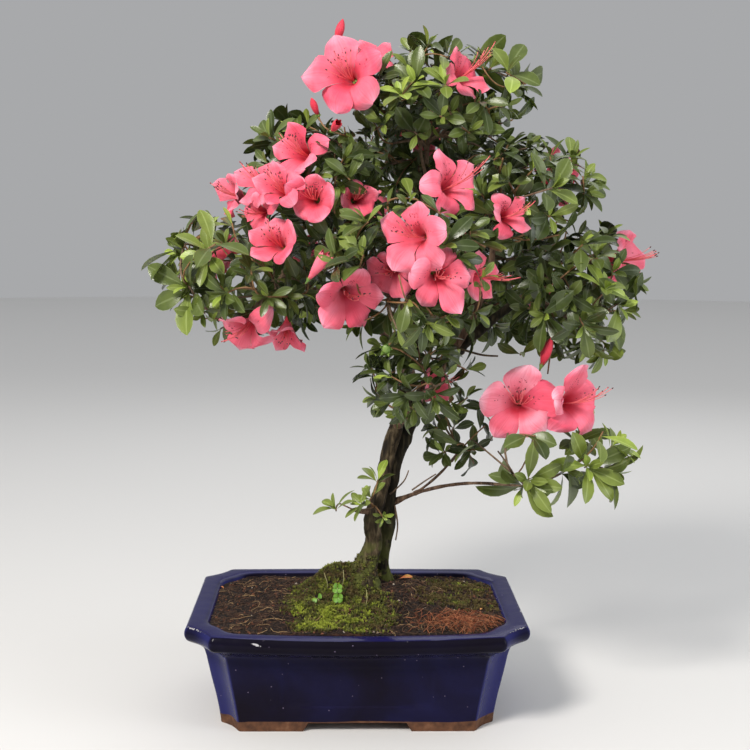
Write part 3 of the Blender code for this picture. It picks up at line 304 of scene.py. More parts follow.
# Whorls and young shoots that show on the front: place, facing, tint from 1 to 3 and size
WHORLS = aimed({
    "leaves_left": (
        ((-0.1241, -0.035, 0.331), (-0.85, -0.3, 0.35), 2, 1.05),
        ((-0.123, -0.03, 0.347), (-0.75, -0.35, 0.55), 3, 1),
        ((-0.1012, -0.035, 0.363), (-0.35, -0.35, 0.85), 2, 1),
        ((-0.1187, -0.01, 0.357), (-0.6, -0.2, 0.75), 2, 0.9),
        ((-0.1384, -0.02, 0.356), (-0.9, -0.1, 0.35), 3, 0.85)),
    "leaves_lower_right": (
        ((0.1298, -0.058, 0.19), (-0.05, -0.95, 0.05), 2, 1.3),
        ((0.172, -0.052, 0.197), (0.2, -0.9, 0.2), 2, 1.35),
        ((0.1942, -0.045, 0.213), (0.65, -0.25, 0.7), 3, 1),
        ((0.1683, -0.03, 0.211), (0.2, -0.5, 0.8), 1, 0.95)),
    "leaves_lower_inner": (
        ((0.0673, -0.01, 0.2006), (-0.3, -0.7, 0.3), 1, 0.75),
        ((0.0917, -0.01, 0.2046), (0.1, -0.8, 0.3), 1, 0.75)),
    "leaves_sprig": (
        ((0.0157, -0.03, 0.1834), (0.0, -0.3, 1.0), 2, 0.92),
        ((0.011, -0.032, 0.17), (-0.6, -0.45, 0.7), 2, 0.8),
        ((0.0033, -0.032, 0.163), (-0.6, -0.5, 0.5), 2, 0.64),
        ((-0.0167, -0.03, 0.159), (-0.5, -0.2, 0.8), 2, 0.82),
        ((0.0205, -0.026, 0.152), (0.3, -0.6, -0.2), 2, 0.4)),
    "leaves_top": (
        ((0.1121, -0.01, 0.4819), (0.85, -0.1, 0.45), 2, 1.15),
        ((0.0293, -0.07, 0.4722), (-0.15, -0.45, 0.85), 3, 0.95),
        ((0.0634, -0.07, 0.4817), (-0.25, -0.45, 0.85), 3, 0.95),
        ((0.0814, -0.06, 0.4478), (0.3, -0.7, 0.3), 1, 1)),
    "leaves_right": (
        ((0.144, -0.045, 0.268), (0.2, -0.7, 0.1), 1, 0.8),
        ((0.1245, -0.03, 0.281), (-0.3, -0.7, -0.3), 1, 0.9),
        ((0.19, -0.02, 0.283), (0.3, -0.6, -0.2), 1, 0.85),
        ((0.178, -0.06, 0.3564), (0.0, -0.35, 0.95), 2, 0.95),
        ((0.1805, -0.07, 0.3316), (0.25, -0.5, 0.8), 3, 0.95)),
    "leaves_front": (
        ((0.0377, -0.09, 0.399), (0.0, -0.45, 0.9), 2, 1), ((0.0732, -0.1, 0.3728), (0.1, -0.65, 0.6), 1, 1),
        ((-0.0155, -0.08, 0.3626), (-0.1, -0.8, 0.4), 1, 1.15)),
    "leaves_upper_left": (
        ((-0.0069, -0.07, 0.4128), (0.2, -0.7, 0.5), 1, 0.95),
        ((-0.0178, -0.08, 0.3887), (-0.1, -0.7, 0.6), 2, 0.8)),
})

# Growth rule, as in the source
SEED = 2604
SHOOT_SPACING, SHOOT_LIFT = 0.045, 0.45
HEART_CENTRE, HEART_REACH = Vector((0.045, 0.0, 0.37)), Vector((0.07, 0.05, 0.075))
SPACE_MARGIN, FULL_REACH, LIMB_CLEARANCE = 0.045, 0.07, 0.0016
STEM_LENGTH, TWIG_RADIUS, TWIG_STEPS, TWIG_CURVE, TWIG_FACING = 0.012, 0.0016, 2, 0.45, 0.6
PATH_SAMPLES, PATH_LIMIT, ORIGIN_TRIES = 16, 1.6, 14
GOLDEN_ANGLE, LEAF_ANGLE_SPREAD, LEAF_DROOP = math.radians(137.508), math.radians(14), 0.12
LEAF_ROOT_SINK, LEAF_ROOT_START, LEAF_RISE = 0.0002, 0.001, 0.0011
BLOOM_DEPTH, BLOOM_LEAF_DROP, OWN_BLOOM_SHARE, OTHER_BLOOM_SHARE = 0.024, 0.004, 0.62, 1.12

# Tries, depths and clearance of the source's spread of shoots and the finer one; how far out leaves reach
SPREADS = {"first": (260, (0.3, 0.8), 0.009), "fine": (1700, (0.28, 0.74), 0.006)}
FIRST_REACH, FINE_REACH = (1.08, 0.45), (1.06, 0.3)

# Finer growth
FINE_SEED, FINE_SPACING_ELSE = 911, 0.0186
FINE_SPACING = {"leaves_sprig": 0.06, "leaves_lower_right": 0.04, "leaves_lower_inner": 0.0205,
                "leaves_left": 0.0225, "leaves_right": 0.0205, "leaves_upper_right": 0.0205}
BOX_MARGIN = 0.004
FINE_TWIG_RADIUS, FINE_TWIG_STEPS, FINE_FORK_POWER = 0.00062, 5, 3.4
WOODY_RADIUS, THICK_RADIUS = 0.00085, 0.0011
BLOOM_VIEW_DEPTH, BLOOM_VIEW_SHARE, BLOOM_CORE_SHARE = 0.055, 0.8, 0.75

# Kinds of whorls: leaves, opening angle, length, width and step along the twig
FIRST_WHORL = (5, math.radians(66), 0.038, 0.0165, 0.002)
BLOOM_WHORL = (3, math.radians(88), 0.038, 0.0165, 0.002)
OUTER_WHORL = (6, math.radians(66), 0.025, 0.0098, 0.0012)
INNER_WHORL = (3, math.radians(30), 0.0165, 0.0058, 0.0006)
FINE_SIZES, WHORL_STEP_SHARE = (0.72, 1.12), 0.4
FIRST_SHARE = {"leader": 1.0, "first": 0.78, "bloom": 0.68}
SPRIG_KNOB = ((0.012, -0.02, 0.16), (0.05, -0.3, 0.95))

# Places without leaves: middle and reach
GAPS = (((0.047, -0.04, 0.438), (0.03, 0.06, 0.02)), ((0.192, 0.0, 0.44), (0.028, 0.07, 0.03)),
        ((0.233, -0.01, 0.315), (0.024, 0.09, 0.04)), ((-0.132, -0.01, 0.285), (0.04, 0.09, 0.022)))

# Bare twigs: radius and places
BARE_TWIGS = ((0.0007, ((0.0262, 0.006, 0.1655), (0.0366, 0.0, 0.1766), (0.0405, -0.005, 0.1865))),
              (0.0008, ((0.03, 0.01, 0.156), (0.0325, 0.006, 0.141), (0.031, 0.006, 0.128))),
              (0.0007, ((0.0437, 0.0, 0.17), (0.053, -0.006, 0.178), (0.0619, -0.01, 0.1846))),
              (0.0014, ((0.052, -0.002, 0.418), (0.0475, -0.015, 0.439), (0.053, -0.02, 0.456))),
              (0.001, ((0.076, -0.01, 0.285), (0.0945, -0.025, 0.2806), (0.1075, -0.03, 0.28))))

# Leaves: places along the blade, the stalk's share and half width, fullness, fold and arch
LEAF_ROWS = (0.0, 0.09, 0.21, 0.36, 0.52, 0.68, 0.82, 0.93)
LEAF_STALK, LEAF_STALK_HALF, LEAF_FULLNESS, LEAF_FOLD, LEAF_ARCH = 0.09, 0.03, (1.45, 0.72), 0.16, 0.05
YOUNGER = {"leaves_sprig": 0.34, "leaves_lower_right": 0.18}
YOUNG_LEFT, YOUNG_TOP, YOUNG_RIGHT = -0.09, 0.475, 0.165

# Petals: fused share and half width there, widest place and half width there, then each trait's spread
FIFTH = math.tau / 5
PETAL_FUSED, PETAL_FUSED_HALF, PETAL_WIDEST, PETAL_HALF = 0.46, 0.24, 0.74, 0.39
PETAL_COLUMNS, PETAL_ROWS, PETAL_ROOT, PETAL_LAYER = 8, 15, 0.0016, 0.0024
PETAL_SPREADS = {"shift": (-0.13, 0.13), "curl": (0.0, 1.0), "length": (0.86, 1.06), "width": (0.82, 1.12),
                 "twist": (-0.5, 0.5), "wave": (0.0, math.tau), "sway": (-0.14, 0.14), "lift": (-0.1, 0.22)}
FRECKLES, FRECKLE_SIZES, FRECKLE_LIFT = {0: 26, 1: 7, 4: 7}, (0.00022, 0.00042), 0.00016
# Masses with full flowers and their size, and the radius at which a flower has its full depth; full flowers
# take the last petal tint, a lit copy that is painted light
FULL_BLOOMS, FULL_BLOOM_RADIUS = {"leaves_lower_right": 1.15}, 0.026

# Stamens: number, how much longer they are in a flower turned right, start; radius and half sizes of a grain
STAMENS, LONG_THREADS, THREAD_START = 8, 1.45, 0.003
STAMEN, PISTIL = (0.00026, 0.001, 0.0005), (0.00034, 0.0007, 0.00055)

# Cup of a flower: height and reach along it; sepals; rows and sides of a bud
CALYX_PROFILE = ((-0.0045, 0.0008), (-0.002, 0.001), (-0.0005, 0.0017), (0.0012, 0.0023), (0.002, 0.0019))
SEPAL_ROOT, SEPAL_TIP, SEPAL_HALF = 0.0017, (0.0036, 0.0052), 0.0011
BUD_GRID = (16, 20)

# Leaf pieces: the masses whose leaves are joined in each
LEAF_GROUPS = {
    "leaves_of_low_masses": ("leaves_sprig", "leaves_lower_right", "leaves_lower_inner", "leaves_lower_front",
                             "leaves_front"),
    "leaves_of_left_masses": ("leaves_left", "leaves_upper_left", "leaves_back_left"),
    "leaves_of_top_masses": ("leaves_top", "leaves_back_top"),
    "leaves_of_right_masses": ("leaves_upper_right", "leaves_right", "leaves_back_right"),
}

# Tints of leaves: colour, pale colour and roughness; of petals: throat, body and rim, where the rim is partly
# a painted highlight and the last tint is a lit copy, painted light for the flowers of the lower right
LEAF_TINTS = (("leaf_dark", (0.032, 0.048, 0.011), (0.052, 0.074, 0.018), 0.26),
              ("leaf_green", (0.062, 0.088, 0.017), (0.094, 0.126, 0.026), 0.28),
              ("leaf_fresh", (0.125, 0.168, 0.028), (0.17, 0.218, 0.04), 0.32),
              ("leaf_young", (0.215, 0.295, 0.042), (0.285, 0.37, 0.06), 0.38))
PETAL_TINTS = (("petal_coral", (0.56, 0.03, 0.06), (0.8, 0.125, 0.195), (0.86, 0.31, 0.42)),
               ("petal_rose", (0.5, 0.02, 0.046), (0.73, 0.082, 0.145), (0.83, 0.23, 0.34)),
               ("petal_bud", (0.42, 0.012, 0.03), (0.64, 0.036, 0.07), (0.78, 0.1, 0.15)),
               ("petal_painted_lit", (0.6, 0.04, 0.075), (0.84, 0.195, 0.275), (0.9, 0.48, 0.59)))

# Tints of small things: two colours, roughness and the scale of the grain that mixes them
TINTS = {
    "twigs": (("twig_woody", (0.085, 0.052, 0.03), (0.19, 0.125, 0.075), 0.8, 400.0),
              ("twig_young", (0.16, 0.078, 0.032), (0.25, 0.135, 0.05), 0.6, 300.0)),
    "freckles": (("freckle", (0.2, 0.006, 0.022), (0.3, 0.01, 0.03), 0.6, 140.0),),
    "stamens": (("filament", (0.72, 0.11, 0.13), (0.82, 0.2, 0.2), 0.5, 140.0),
                ("anther", (0.05, 0.018, 0.02), (0.11, 0.04, 0.035), 0.7, 140.0),
                ("stigma", (0.28, 0.03, 0.04), (0.42, 0.06, 0.06), 0.4, 140.0)),
    "calyces": (("calyx", (0.11, 0.2, 0.035), (0.18, 0.28, 0.055), 0.5, 140.0),),
    "soil_crumbs": (("crumb_dark", (0.008, 0.005, 0.004), (0.018, 0.01, 0.007), 0.95, 600.0),
                    ("crumb_brown", (0.024, 0.013, 0.009), (0.052, 0.029, 0.019), 0.95, 600.0),
                    ("crumb_rust", (0.085, 0.028, 0.014), (0.15, 0.058, 0.028), 0.9, 600.0),
                    ("crumb_pale", (0.2, 0.15, 0.11), (0.42, 0.36, 0.29), 0.85, 600.0)),
    "soil_fibres": (("fibre_brown", (0.062, 0.03, 0.016), (0.13, 0.07, 0.038), 0.9, 500.0),
                    ("fibre_rust", (0.15, 0.034, 0.014), (0.28, 0.075, 0.028), 0.9, 500.0),
                    ("fibre_straw", (0.3, 0.18, 0.08), (0.44, 0.3, 0.15), 0.9, 500.0),
                    ("fibre_orange", (0.3, 0.095, 0.04), (0.43, 0.18, 0.08), 0.9, 500.0)),
    "moss": (("moss_brown", (0.07, 0.05, 0.014), (0.12, 0.09, 0.024), 0.9, 300.0),
             ("moss_dark", (0.06, 0.068, 0.012), (0.1, 0.11, 0.02), 0.9, 300.0),
             ("moss_green", (0.14, 0.16, 0.02), (0.21, 0.225, 0.03), 0.9, 300.0),
             ("moss_fresh", (0.26, 0.32, 0.028), (0.35, 0.39, 0.045), 0.9, 300.0)),
    "litter": (("seedling", (0.1, 0.24, 0.022), (0.17, 0.34, 0.036), 0.5, 300.0),
               ("pale_stem", (0.33, 0.3, 0.13), (0.44, 0.4, 0.2), 0.7, 300.0),
               ("fallen_leaf", (0.56, 0.08, 0.03), (0.62, 0.33, 0.08), 0.6, 150.0)),
}

# Stage: floor, world and lights as place, size, power and colour
FLOOR_RADIUS, FLOOR_SIDES, FLOOR_COLOUR, FLOOR_ROUGHNESS = 6.0, 96, (0.68, 0.675, 0.665), 0.8
WORLD_COLOUR, WORLD_STRENGTH = (0.8, 0.81, 0.83), 0.49
LIGHT_AIM = Vector((0.0, 0.0, 0.3))
LIGHTS = {
    "key": ((-0.8, -1.3, 1.4), 0.5, 40.0, (1.0, 0.955, 0.9)),
    "fill": ((1.45, -0.7, 0.6), 1.0, 10.0, (0.95, 0.97, 1.0)),
    "rim": ((0.35, 1.4, 1.3), 1.4, 5.0, (1.0, 1.0, 1.0)),
    "ceiling": ((0.0, 0.0, 4.5), 14.0, 135.0, (0.97, 0.985, 1.0)),
}

# Camera: place from the middle of the pot, turn, tilt and roll, as the photograph shows the pot's edges
CAMERA_PLACE = Vector((-0.0108, -1.1741, 0.387))
CAMERA_YAW, CAMERA_PITCH, CAMERA_ROLL = math.radians(1.19), math.radians(6.08), math.radians(0.3)
LENS_IN_PIXELS, IMAGE_WIDTH, SENSOR = 1497.0, 750.0, 36.0


class Heap:
    """Points and faces of one kind of thing, gathered to be made into one joined mesh."""

    def __init__(self):
        self.points, self.faces, self.zones, self.places = [], [], [], []

    def add(self, points, faces, zone=0, places=None):
        """Add one thing: zone is its material, places are the texture places of its points."""
        start = len(self.points)
        self.points.extend(tuple(point) for point in points)
        self.faces.extend(tuple(corner + start for corner in face) for face in faces)
        self.zones.extend([zone] * len(faces) if isinstance(zone, int) else zone)
        self.places.extend(places or [(0.5, 0.5)] * len(points))


def make_piece(name, heap, materials, nodes=(), smooth=True):
    """Make a heap into one piece that rides on the plant and stands for the given nodes."""
    mesh = bpy.data.meshes.new(name)
    mesh.from_pydata(heap.points, [], heap.faces)
    for material in materials:
        mesh.materials.append(material)
    mesh.polygons.foreach_set("material_index", heap.zones)
    mesh.polygons.foreach_set("use_smooth", [smooth] * len(heap.faces))
    corners = np.empty(len(mesh.loops), dtype=np.int32)
    mesh.loops.foreach_get("vertex_index", corners)
    layer = mesh.uv_layers.new(name="place")
    layer.data.foreach_set("uv", np.array(heap.places, dtype=np.float32)[corners].ravel())
    mesh.transform(Matrix.Translation(SHIFT))
    mesh.update()
    piece = bpy.data.objects.new(name, mesh)
    bpy.context.scene.collection.objects.link(piece)
    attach(piece, "root")
    if nodes:
        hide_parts(*nodes)
    return piece


# Materials

class Finish:
    """A material, with short ways to add nodes to it."""

    def __init__(self, name, colour, roughness, **more):
        self.material = bpy.data.materials.new(name)
        self.material.use_nodes = True
        self.tree = self.material.node_tree
        self.surface = self.tree.nodes["Principled BSDF"]
        self.feed(self.surface, {"Base Color": colour, "Roughness": roughness})
        self.feed(self.surface, {socket.replace("_", " "): value for socket, value in more.items()})

    def feed(self, node, inputs):
        """Set a node's inputs to values, or link them to the sockets that feed them."""
        for name, value in inputs.items():
            socket = node.inputs[name]
            if isinstance(value, bpy.types.NodeSocket):
                self.tree.links.new(value, socket)
            else:
                socket.default_value = (*value, 1.0) if socket.type == "RGBA" else value

    def node(self, kind, inputs=None, **settings):
        """Add a node with its settings and inputs."""
        made = self.tree.nodes.new(kind)
        for setting, value in settings.items():
            setattr(made, setting, value)
        self.feed(made, inputs or {})
        return made

    def place(self, stretch=(1.0, 1.0, 1.0), source="Object"):
        """Return the place on the object or on the thing's own map, stretched."""
        place = self.node("ShaderNodeTexCoord").outputs[source]
        return self.node("ShaderNodeMapping", {"Vector": place, "Scale": stretch}).outputs["Vector"]

    def noise(self, place, scale, detail=3.0, distortion=0.0):
        """Return a noise of the given scale."""
        values = {"Vector": place, "Scale": scale, "Detail": detail, "Distortion": distortion}
        return self.node("ShaderNodeTexNoise", values).outputs["Fac"]

    def ramp(self, factor, stops):
        """Return the colour that a factor picks among (position, colour) stops."""
        made = self.node("ShaderNodeValToRGB", {"Fac": factor})
        elements = made.color_ramp.elements
        while len(elements) < len(stops):
            elements.new(0.5)
        for element, (position, colour) in zip(elements, stops):
            element.position = position
            element.color = (*colour, 1.0)
        return made.outputs["Color"]

    def mask(self, factor, low, high):
        """Return a value that rises from 0 to 1 as the factor goes from low to high."""
        values = {"Value": factor, "From Min": low, "From Max": high}
        return self.node("ShaderNodeMapRange", values, interpolation_type="SMOOTHSTEP").outputs["Result"]

    def combine(self, first, second, operation="MULTIPLY"):
        """Return two values joined by a sum, a product or the like."""
        return self.node("ShaderNodeMath", {0: first, 1: second}, operation=operation).outputs[0]

    def mix(self, factor, first, second, blend="MIX"):
        """Return two colours mixed."""
        values = {0: factor, 6: first, 7: second}
        return self.node("ShaderNodeMix", values, data_type="RGBA", blend_type=blend).outputs[2]

    def axis(self, place, name):
        """Return one coordinate of a place."""
        return self.node("ShaderNodeSeparateXYZ", {"Vector": place}).outputs[name]

    def colour(self, socket):
        """Use a socket as the surface's colour."""
        self.feed(self.surface, {"Base Color": socket})

    def bump(self, height, strength, distance):
        """Raise the surface by a height."""
        made = self.node("ShaderNodeBump", {"Height": height, "Strength": strength, "Distance": distance})
        self.feed(self.surface, {"Normal": made.outputs["Normal"]})


def chip_and_highlight_mask(finish, place):
    """Return where the glaze is chipped and where highlights are painted along the lip's edges, as a value
    from 0 to 1.
    """
    wear_and_highlight = 0.0
    rough = finish.combine(finish.noise(place, 700.0, 3.0), 1.4)
    for middle, (tilt, turn), reach in CHIPS_AND_HIGHLIGHTS:
        values = {"Vector": place, "Location": Vector(middle) + SHIFT, "Scale": reach,
                  "Rotation": (0.0, math.radians(-tilt), math.radians(turn))}
        inner = finish.node("ShaderNodeMapping", values, vector_type="TEXTURE").outputs["Vector"]
        away = finish.node("ShaderNodeVectorMath", {0: inner}, operation="LENGTH").outputs["Value"]
        wear_and_highlight = finish.combine(finish.mask(finish.combine(away, rough, "ADD"), 1.75, 1.45), wear_and_highlight, "MAXIMUM")
    return wear_and_highlight


def glaze_finish():
    """Cobalt glaze in clouds of near black and deep blue, with painted light: paler blue on faces that look
    up or to the sides, painted shade on the front of the lip, and edges paler where the glaze thins, partly a
    painted highlight; with pinholes, pale specks, and pale chips and painted highlights along the lip's
    edges.
    """
    finish = Finish("pot_glaze", (0.008, 0.009, 0.056), 0.16, Specular_IOR_Level=0.05, Coat_Weight=0.03,
                    Coat_Roughness=0.05)
    place = finish.place()
    normal = finish.node("ShaderNodeNewGeometry").outputs["Normal"]
    cloud = finish.noise(place, 12.0, 5.0, 0.5)
    body = finish.ramp(cloud, ((0.34, (0.0062, 0.0044, 0.0080)), (0.52, (0.0076, 0.0064, 0.0210)),
                               (0.76, (0.0110, 0.0110, 0.0500))))
    # Painted light: faces that look up are mixed towards a paler blue, and faces turned to the left or right
    # towards a paler blue still.
    upward = finish.mask(finish.axis(normal, "Z"), 0.86, 0.99)
    lit = finish.mix(finish.combine(upward, 0.6), body, (0.013, 0.012, 0.100))
    side_light_share = finish.mask(finish.combine(finish.axis(normal, "X"), 0.0, "ABSOLUTE"), 0.25, 0.75)
    turned = finish.mix(finish.combine(side_light_share, 0.75), lit, (0.022, 0.024, 0.130))
    # Painted shade: the front of the lip, where it faces forward, is mixed towards near black.
    forward = finish.mask(finish.axis(normal, "Y"), -0.35, -0.75)
    front_lip_shade = finish.combine(forward, finish.mask(finish.axis(place, "Z"), 0.064, 0.070))
    lip = finish.mix(finish.combine(front_lip_shade, 0.85), turned, (0.0045, 0.0035, 0.0060))
    # Edges are paler where the glaze thins over them, and partly as a painted highlight along them.
    wear_and_highlight = finish.mask(finish.node("ShaderNodeNewGeometry").outputs["Pointiness"], 0.52, 0.60)
    thin = finish.combine(wear_and_highlight, finish.mask(finish.noise(place, 90.0, 4.0), 0.40, 0.70))
    edge_break_and_highlight = finish.mix(thin, lip, (0.050, 0.050, 0.190))
    cells = finish.node("ShaderNodeTexVoronoi", {"Vector": place, "Scale": 230.0})
    dot = finish.mask(cells.outputs["Distance"], 0.14, 0.05)
    speck = finish.combine(dot, finish.mask(finish.axis(cells.outputs["Color"], "X"), 0.82, 0.86))
    specked = finish.mix(speck, edge_break_and_highlight, (0.150, 0.120, 0.190))
    # Pale chips and painted highlights along the lip's edges.
    finish.colour(finish.mix(chip_and_highlight_mask(finish, place), specked, (0.420, 0.410, 0.430)))
    finish.feed(finish.surface, {"Roughness": finish.mask(finish.noise(place, 60.0, 5.0), -0.3, 3.2)})
    ripple = finish.combine(finish.noise(place, 75.0, 2.0), finish.combine(speck, 0.5), "SUBTRACT")
    finish.bump(ripple, 0.22, 0.0016)
    return finish.material


def clay_finish():
    """Bare fired clay at the feet."""
    finish = Finish("pot_clay", (0.16, 0.08, 0.045), 0.82, Specular_IOR_Level=0.25)
    grain = finish.noise(finish.place(), 160.0, 6.0)
    finish.colour(finish.ramp(grain, ((0.3, (0.045, 0.020, 0.012)), (0.6, (0.120, 0.052, 0.026)),
                                      (0.85, (0.210, 0.110, 0.062)))))
    finish.bump(grain, 0.5, 0.0006)
    return finish.material


def bark_finish(name, low, middle, high, moss_top, moss_amount):
    """Thin bark in upright plates, with lichen and moss that fade with height."""
    finish = Finish(name, middle, 0.86, Specular_IOR_Level=0.25)
    place = finish.place()
    plates = finish.noise(finish.place((1.0, 1.0, 0.30)), 330.0, 6.0, 0.5)
    broad = finish.noise(finish.place((1.0, 1.0, 0.55)), 70.0, 3.0)
    body = finish.ramp(plates, ((0.34, low), (0.52, middle), (0.72, high)))
    shaded = finish.mix(finish.mask(broad, 0.35, 0.70), body, low, "MULTIPLY")
    fade = finish.mask(finish.axis(place, "Z"), moss_top, GROUND)
    patch = finish.mask(finish.noise(place, 120.0, 5.0), 0.62 - moss_amount, 0.74 - moss_amount)
    bark = finish.mix(0.55, body, shaded)
    finish.colour(finish.mix(finish.combine(fade, patch), bark, (0.085, 0.095, 0.020)))
    finish.bump(plates, 0.75, 0.0011)
    return finish.material


def leaf_finish(name, colour, pale, roughness):
    """A leathery leaf with a paler midrib, a pale margin painted as rim light, uneven green and a soft sheen.
    """
    finish = Finish(name, colour, roughness, Specular_IOR_Level=0.42)
    mottle = finish.noise(finish.place(), 85.0, 2.0)
    body = finish.mix(finish.mask(mottle, 0.30, 0.75), colour, pale)
    across = finish.axis(finish.place(source="UV"), "X")
    from_rib = finish.combine(finish.combine(across, 0.5, "SUBTRACT"), 0.0, "ABSOLUTE")
    rib = finish.combine(finish.mask(from_rib, 0.075, 0.015), 0.60)
    # Painted rim light: a pale line along the leaf's margin.
    edge = finish.combine(finish.mask(from_rib, 0.455, 0.495), 0.55)
    rib_and_rim_light = [min(1.0, 1.35 * value + 0.06) for value in pale]
    finish.colour(finish.mix(finish.combine(rib, edge, "ADD"), body, rib_and_rim_light))
    finish.bump(finish.noise(finish.place((14.0, 30.0, 1.0), "UV"), 1.0, 2.0), 0.22, 0.0006)
    return finish.material


def petal_finish(name, throat, body, rim):
    """A petal: deeper in the throat, pale at its rim, partly its own colour and partly a painted highlight,
    with fine veins along it.
    """
    finish = Finish(name, body, 0.58, Sheen_Weight=0.10, Sheen_Roughness=0.4, Specular_IOR_Level=0.32,
                    Subsurface_Weight=0.10, Subsurface_Scale=0.004)
    along = finish.axis(finish.place(source="UV"), "Y")
    # The rim colour is partly a painted highlight.
    base = finish.ramp(along, ((0.30, throat), (0.58, body), (0.82, body), (0.99, rim)))
    veins = finish.noise(finish.place((26.0, 1.6, 1.0), "UV"), 1.0, 3.0, 0.3)
    veined = finish.mix(finish.combine(finish.mask(veins, 0.46, 0.72), 0.42), base, throat)
    cloud = finish.mask(finish.noise(finish.place(), 55.0, 2.0), 0.40, 0.80)
    finish.colour(finish.mix(finish.combine(cloud, 0.40), veined, rim))
    finish.bump(veins, 0.35, 0.0008)
    return finish.material


def soil_finish():
    """Damp peat: dark, with rust and grey crumbs."""
    finish = Finish("soil", (0.030, 0.018, 0.012), 0.92, Specular_IOR_Level=0.25)
    place = finish.place()
    crumbs = finish.noise(place, 420.0, 6.0, 0.4)
    body = finish.ramp(crumbs, ((0.32, (0.004, 0.002, 0.002)), (0.50, (0.013, 0.007, 0.005)),
                                (0.64, (0.032, 0.017, 0.011)), (0.80, (0.075, 0.042, 0.026))))
    rust = finish.mask(finish.noise(place, 60.0, 4.0), 0.50, 0.68)
    finish.colour(finish.mix(finish.combine(rust, 0.45), body, (0.105, 0.040, 0.020)))
    finish.bump(crumbs, 1.0, 0.0022)
    return finish.material


def plain_finish(name, colour, other, roughness, scale):
    """A small thing's finish: two colours mixed by a fine noise."""
    finish = Finish(name, colour, roughness)
    grain = finish.noise(finish.place(), scale, 4.0)
    finish.colour(finish.mix(finish.mask(grain, 0.30, 0.70), colour, other))
    finish.bump(grain, 0.3, 0.0005)
    return finish.material


def plain_finishes(kind):
    """Return the plain finishes of one kind of small things."""
    return [plain_finish(*tint) for tint in TINTS[kind]]


# Curves and skins

def spline(before, start, end, after, share):
    """Return the value at a share of the way from start to end, on a smooth curve through all four."""
    square, cube = share * share, share * share * share
    return 0.5 * (2 * start + (end - before) * share + (2 * before - 5 * start + 4 * end - after) * square
                  + (3 * start - before - 3 * end + after) * cube)


def curve_place(start, control, end, share):
    """Return a place on the curve of a twig."""
    return start * (1 - share) ** 2 + control * 2 * share * (1 - share) + end * share ** 2


def smooth_step(share):
    """Return a share eased in and out between 0 and 1."""
    share = min(1.0, max(0.0, share))
    return share * share * (3 - 2 * share)


def heading(turn, rise=0.0):
    """Return the level direction at a turn, raised by a rise."""
    return Vector((math.cos(turn), math.sin(turn), rise))


def gauss_bump(away, width):
    """Return a bell curve's height at a distance, where 1 is its top."""
    return math.exp(-(away / width) ** 2)


def smooth_run(places, steps):
    """Return points with radii on a smooth curve through the given places."""
    places = [Vector(place) for place in places]
    run = []
    for four in zip([places[0], *places], places, places[1:], [*places[2:], places[-1]]):
        run += [spline(*four, step / steps) for step in range(steps)]
    return [(Vector(place[:3]), place[3]) for place in [*run, places[-1]]]


def run_directions(run):
    """Return the direction of a run at each of its points."""
    places = [place for place, _ in run]
    return [(after - before).normalized()
            for before, after in zip([places[0], *places], [*places[1:], places[-1]])]


def ring_frames(directions):
    """Return two crosswise axes for each direction, carried along without twist."""
    side = directions[0].orthogonal().normalized()
    frames = []
    for direction in directions:
        side = (side - direction * side.dot(direction)).normalized()
        frames.append((side, direction.cross(side)))
    return frames


def grid_faces(rows, count, closed=True):
    """Return the faces between rows of points, round a closed ring or across an open strip."""
    faces = []
    for low in range(0, (rows - 1) * count, count):
        for side in range(count if closed else count - 1):
            after = (side + 1) % count
            faces.append((low + side, low + after, low + count + after, low + count + side))
    return faces


def loft(rings):
    """Return the points and faces of a closed skin over rings of equal count."""
    count = len(rings[0])
    points = [point for ring in rings for point in ring]
    bottom, top = range(count), range(len(points) - count, len(points))
    return points, [tuple(bottom)[::-1], *grid_faces(len(rings), count), tuple(top)]


def tube(run, sides, directions=None, reach_at=None):
    """Return a closed tube; reach_at(centre, radius, out, turn) gives the reach of a point of it."""
    rings = []
    for (centre, radius), (side, across) in zip(run, ring_frames(directions or run_directions(run))):
        points = []
        for step in range(sides):
            turn = math.tau * step / sides
            out = side * math.cos(turn) + across * math.sin(turn)
            points.append(centre + out * (reach_at(centre, radius, out, turn) if reach_at else radius))
        rings.append(points)
    return loft(rings)


# Limbs, by the source's rule

def trunk_reach(name):
    """Return the rule of a trunk's lumps and of the flare at its foot."""
    def reach_at(centre, radius, out, turn):
        lumps = math.sin(2 * turn + 70 * centre.z) + 0.6 * math.sin(3 * turn - 110 * centre.z)
        flare = math.exp(-(centre.z - GROUND) / FLARE_HEIGHT)
        lobes = 0.6 + 0.4 * math.cos(turn - FLARE_SIDE)
        return radius * (1.0 + BARK_LUMP * lumps + FLARE_WIDTH[name] * flare * lobes)
    return reach_at


def limb_kind(name):
    """Return whether a limb is a trunk or a bough."""
    return "trunk" if name in TRUNKS else "bough"


def nearest_height(run, height):
    """Return the first place on a rising run at a height, with the radius there."""
    for (low, low_radius), (high, high_radius) in zip(run, run[1:]):
        if low.z <= height <= high.z:
            share = (height - low.z) / (high.z - low.z)
            return low.lerp(high, share), low_radius + (high_radius - low_radius) * share
    return run[-1]


def plan_limbs(steps):
    """Return each limb's run and directions, with the given steps for trunks and boughs."""
    limbs = {}
    for name, places in TRUNKS.items():
        run = smooth_run(places, steps["trunk"])
        limbs[name] = (run, [UP.copy(), *run_directions(run)[1:]])
    for name, (parent, height, tip, bend, (root_radius, tip_radius)) in BOUGHS.items():
        start, tip = nearest_height(limbs[parent][0], height)[0], Vector(tip)
        control = (start + tip) / 2 + 2 * Vector(bend)
        shares = [step / steps["bough"] for step in range(steps["bough"] + 1)]
        run = [(curve_place(start, control, tip, share), root_radius + (tip_radius - root_radius) * share)
               for share in shares]
        limbs[name] = (run, [*run_directions(run)[:-1], (tip - control).normalized()])
    return limbs


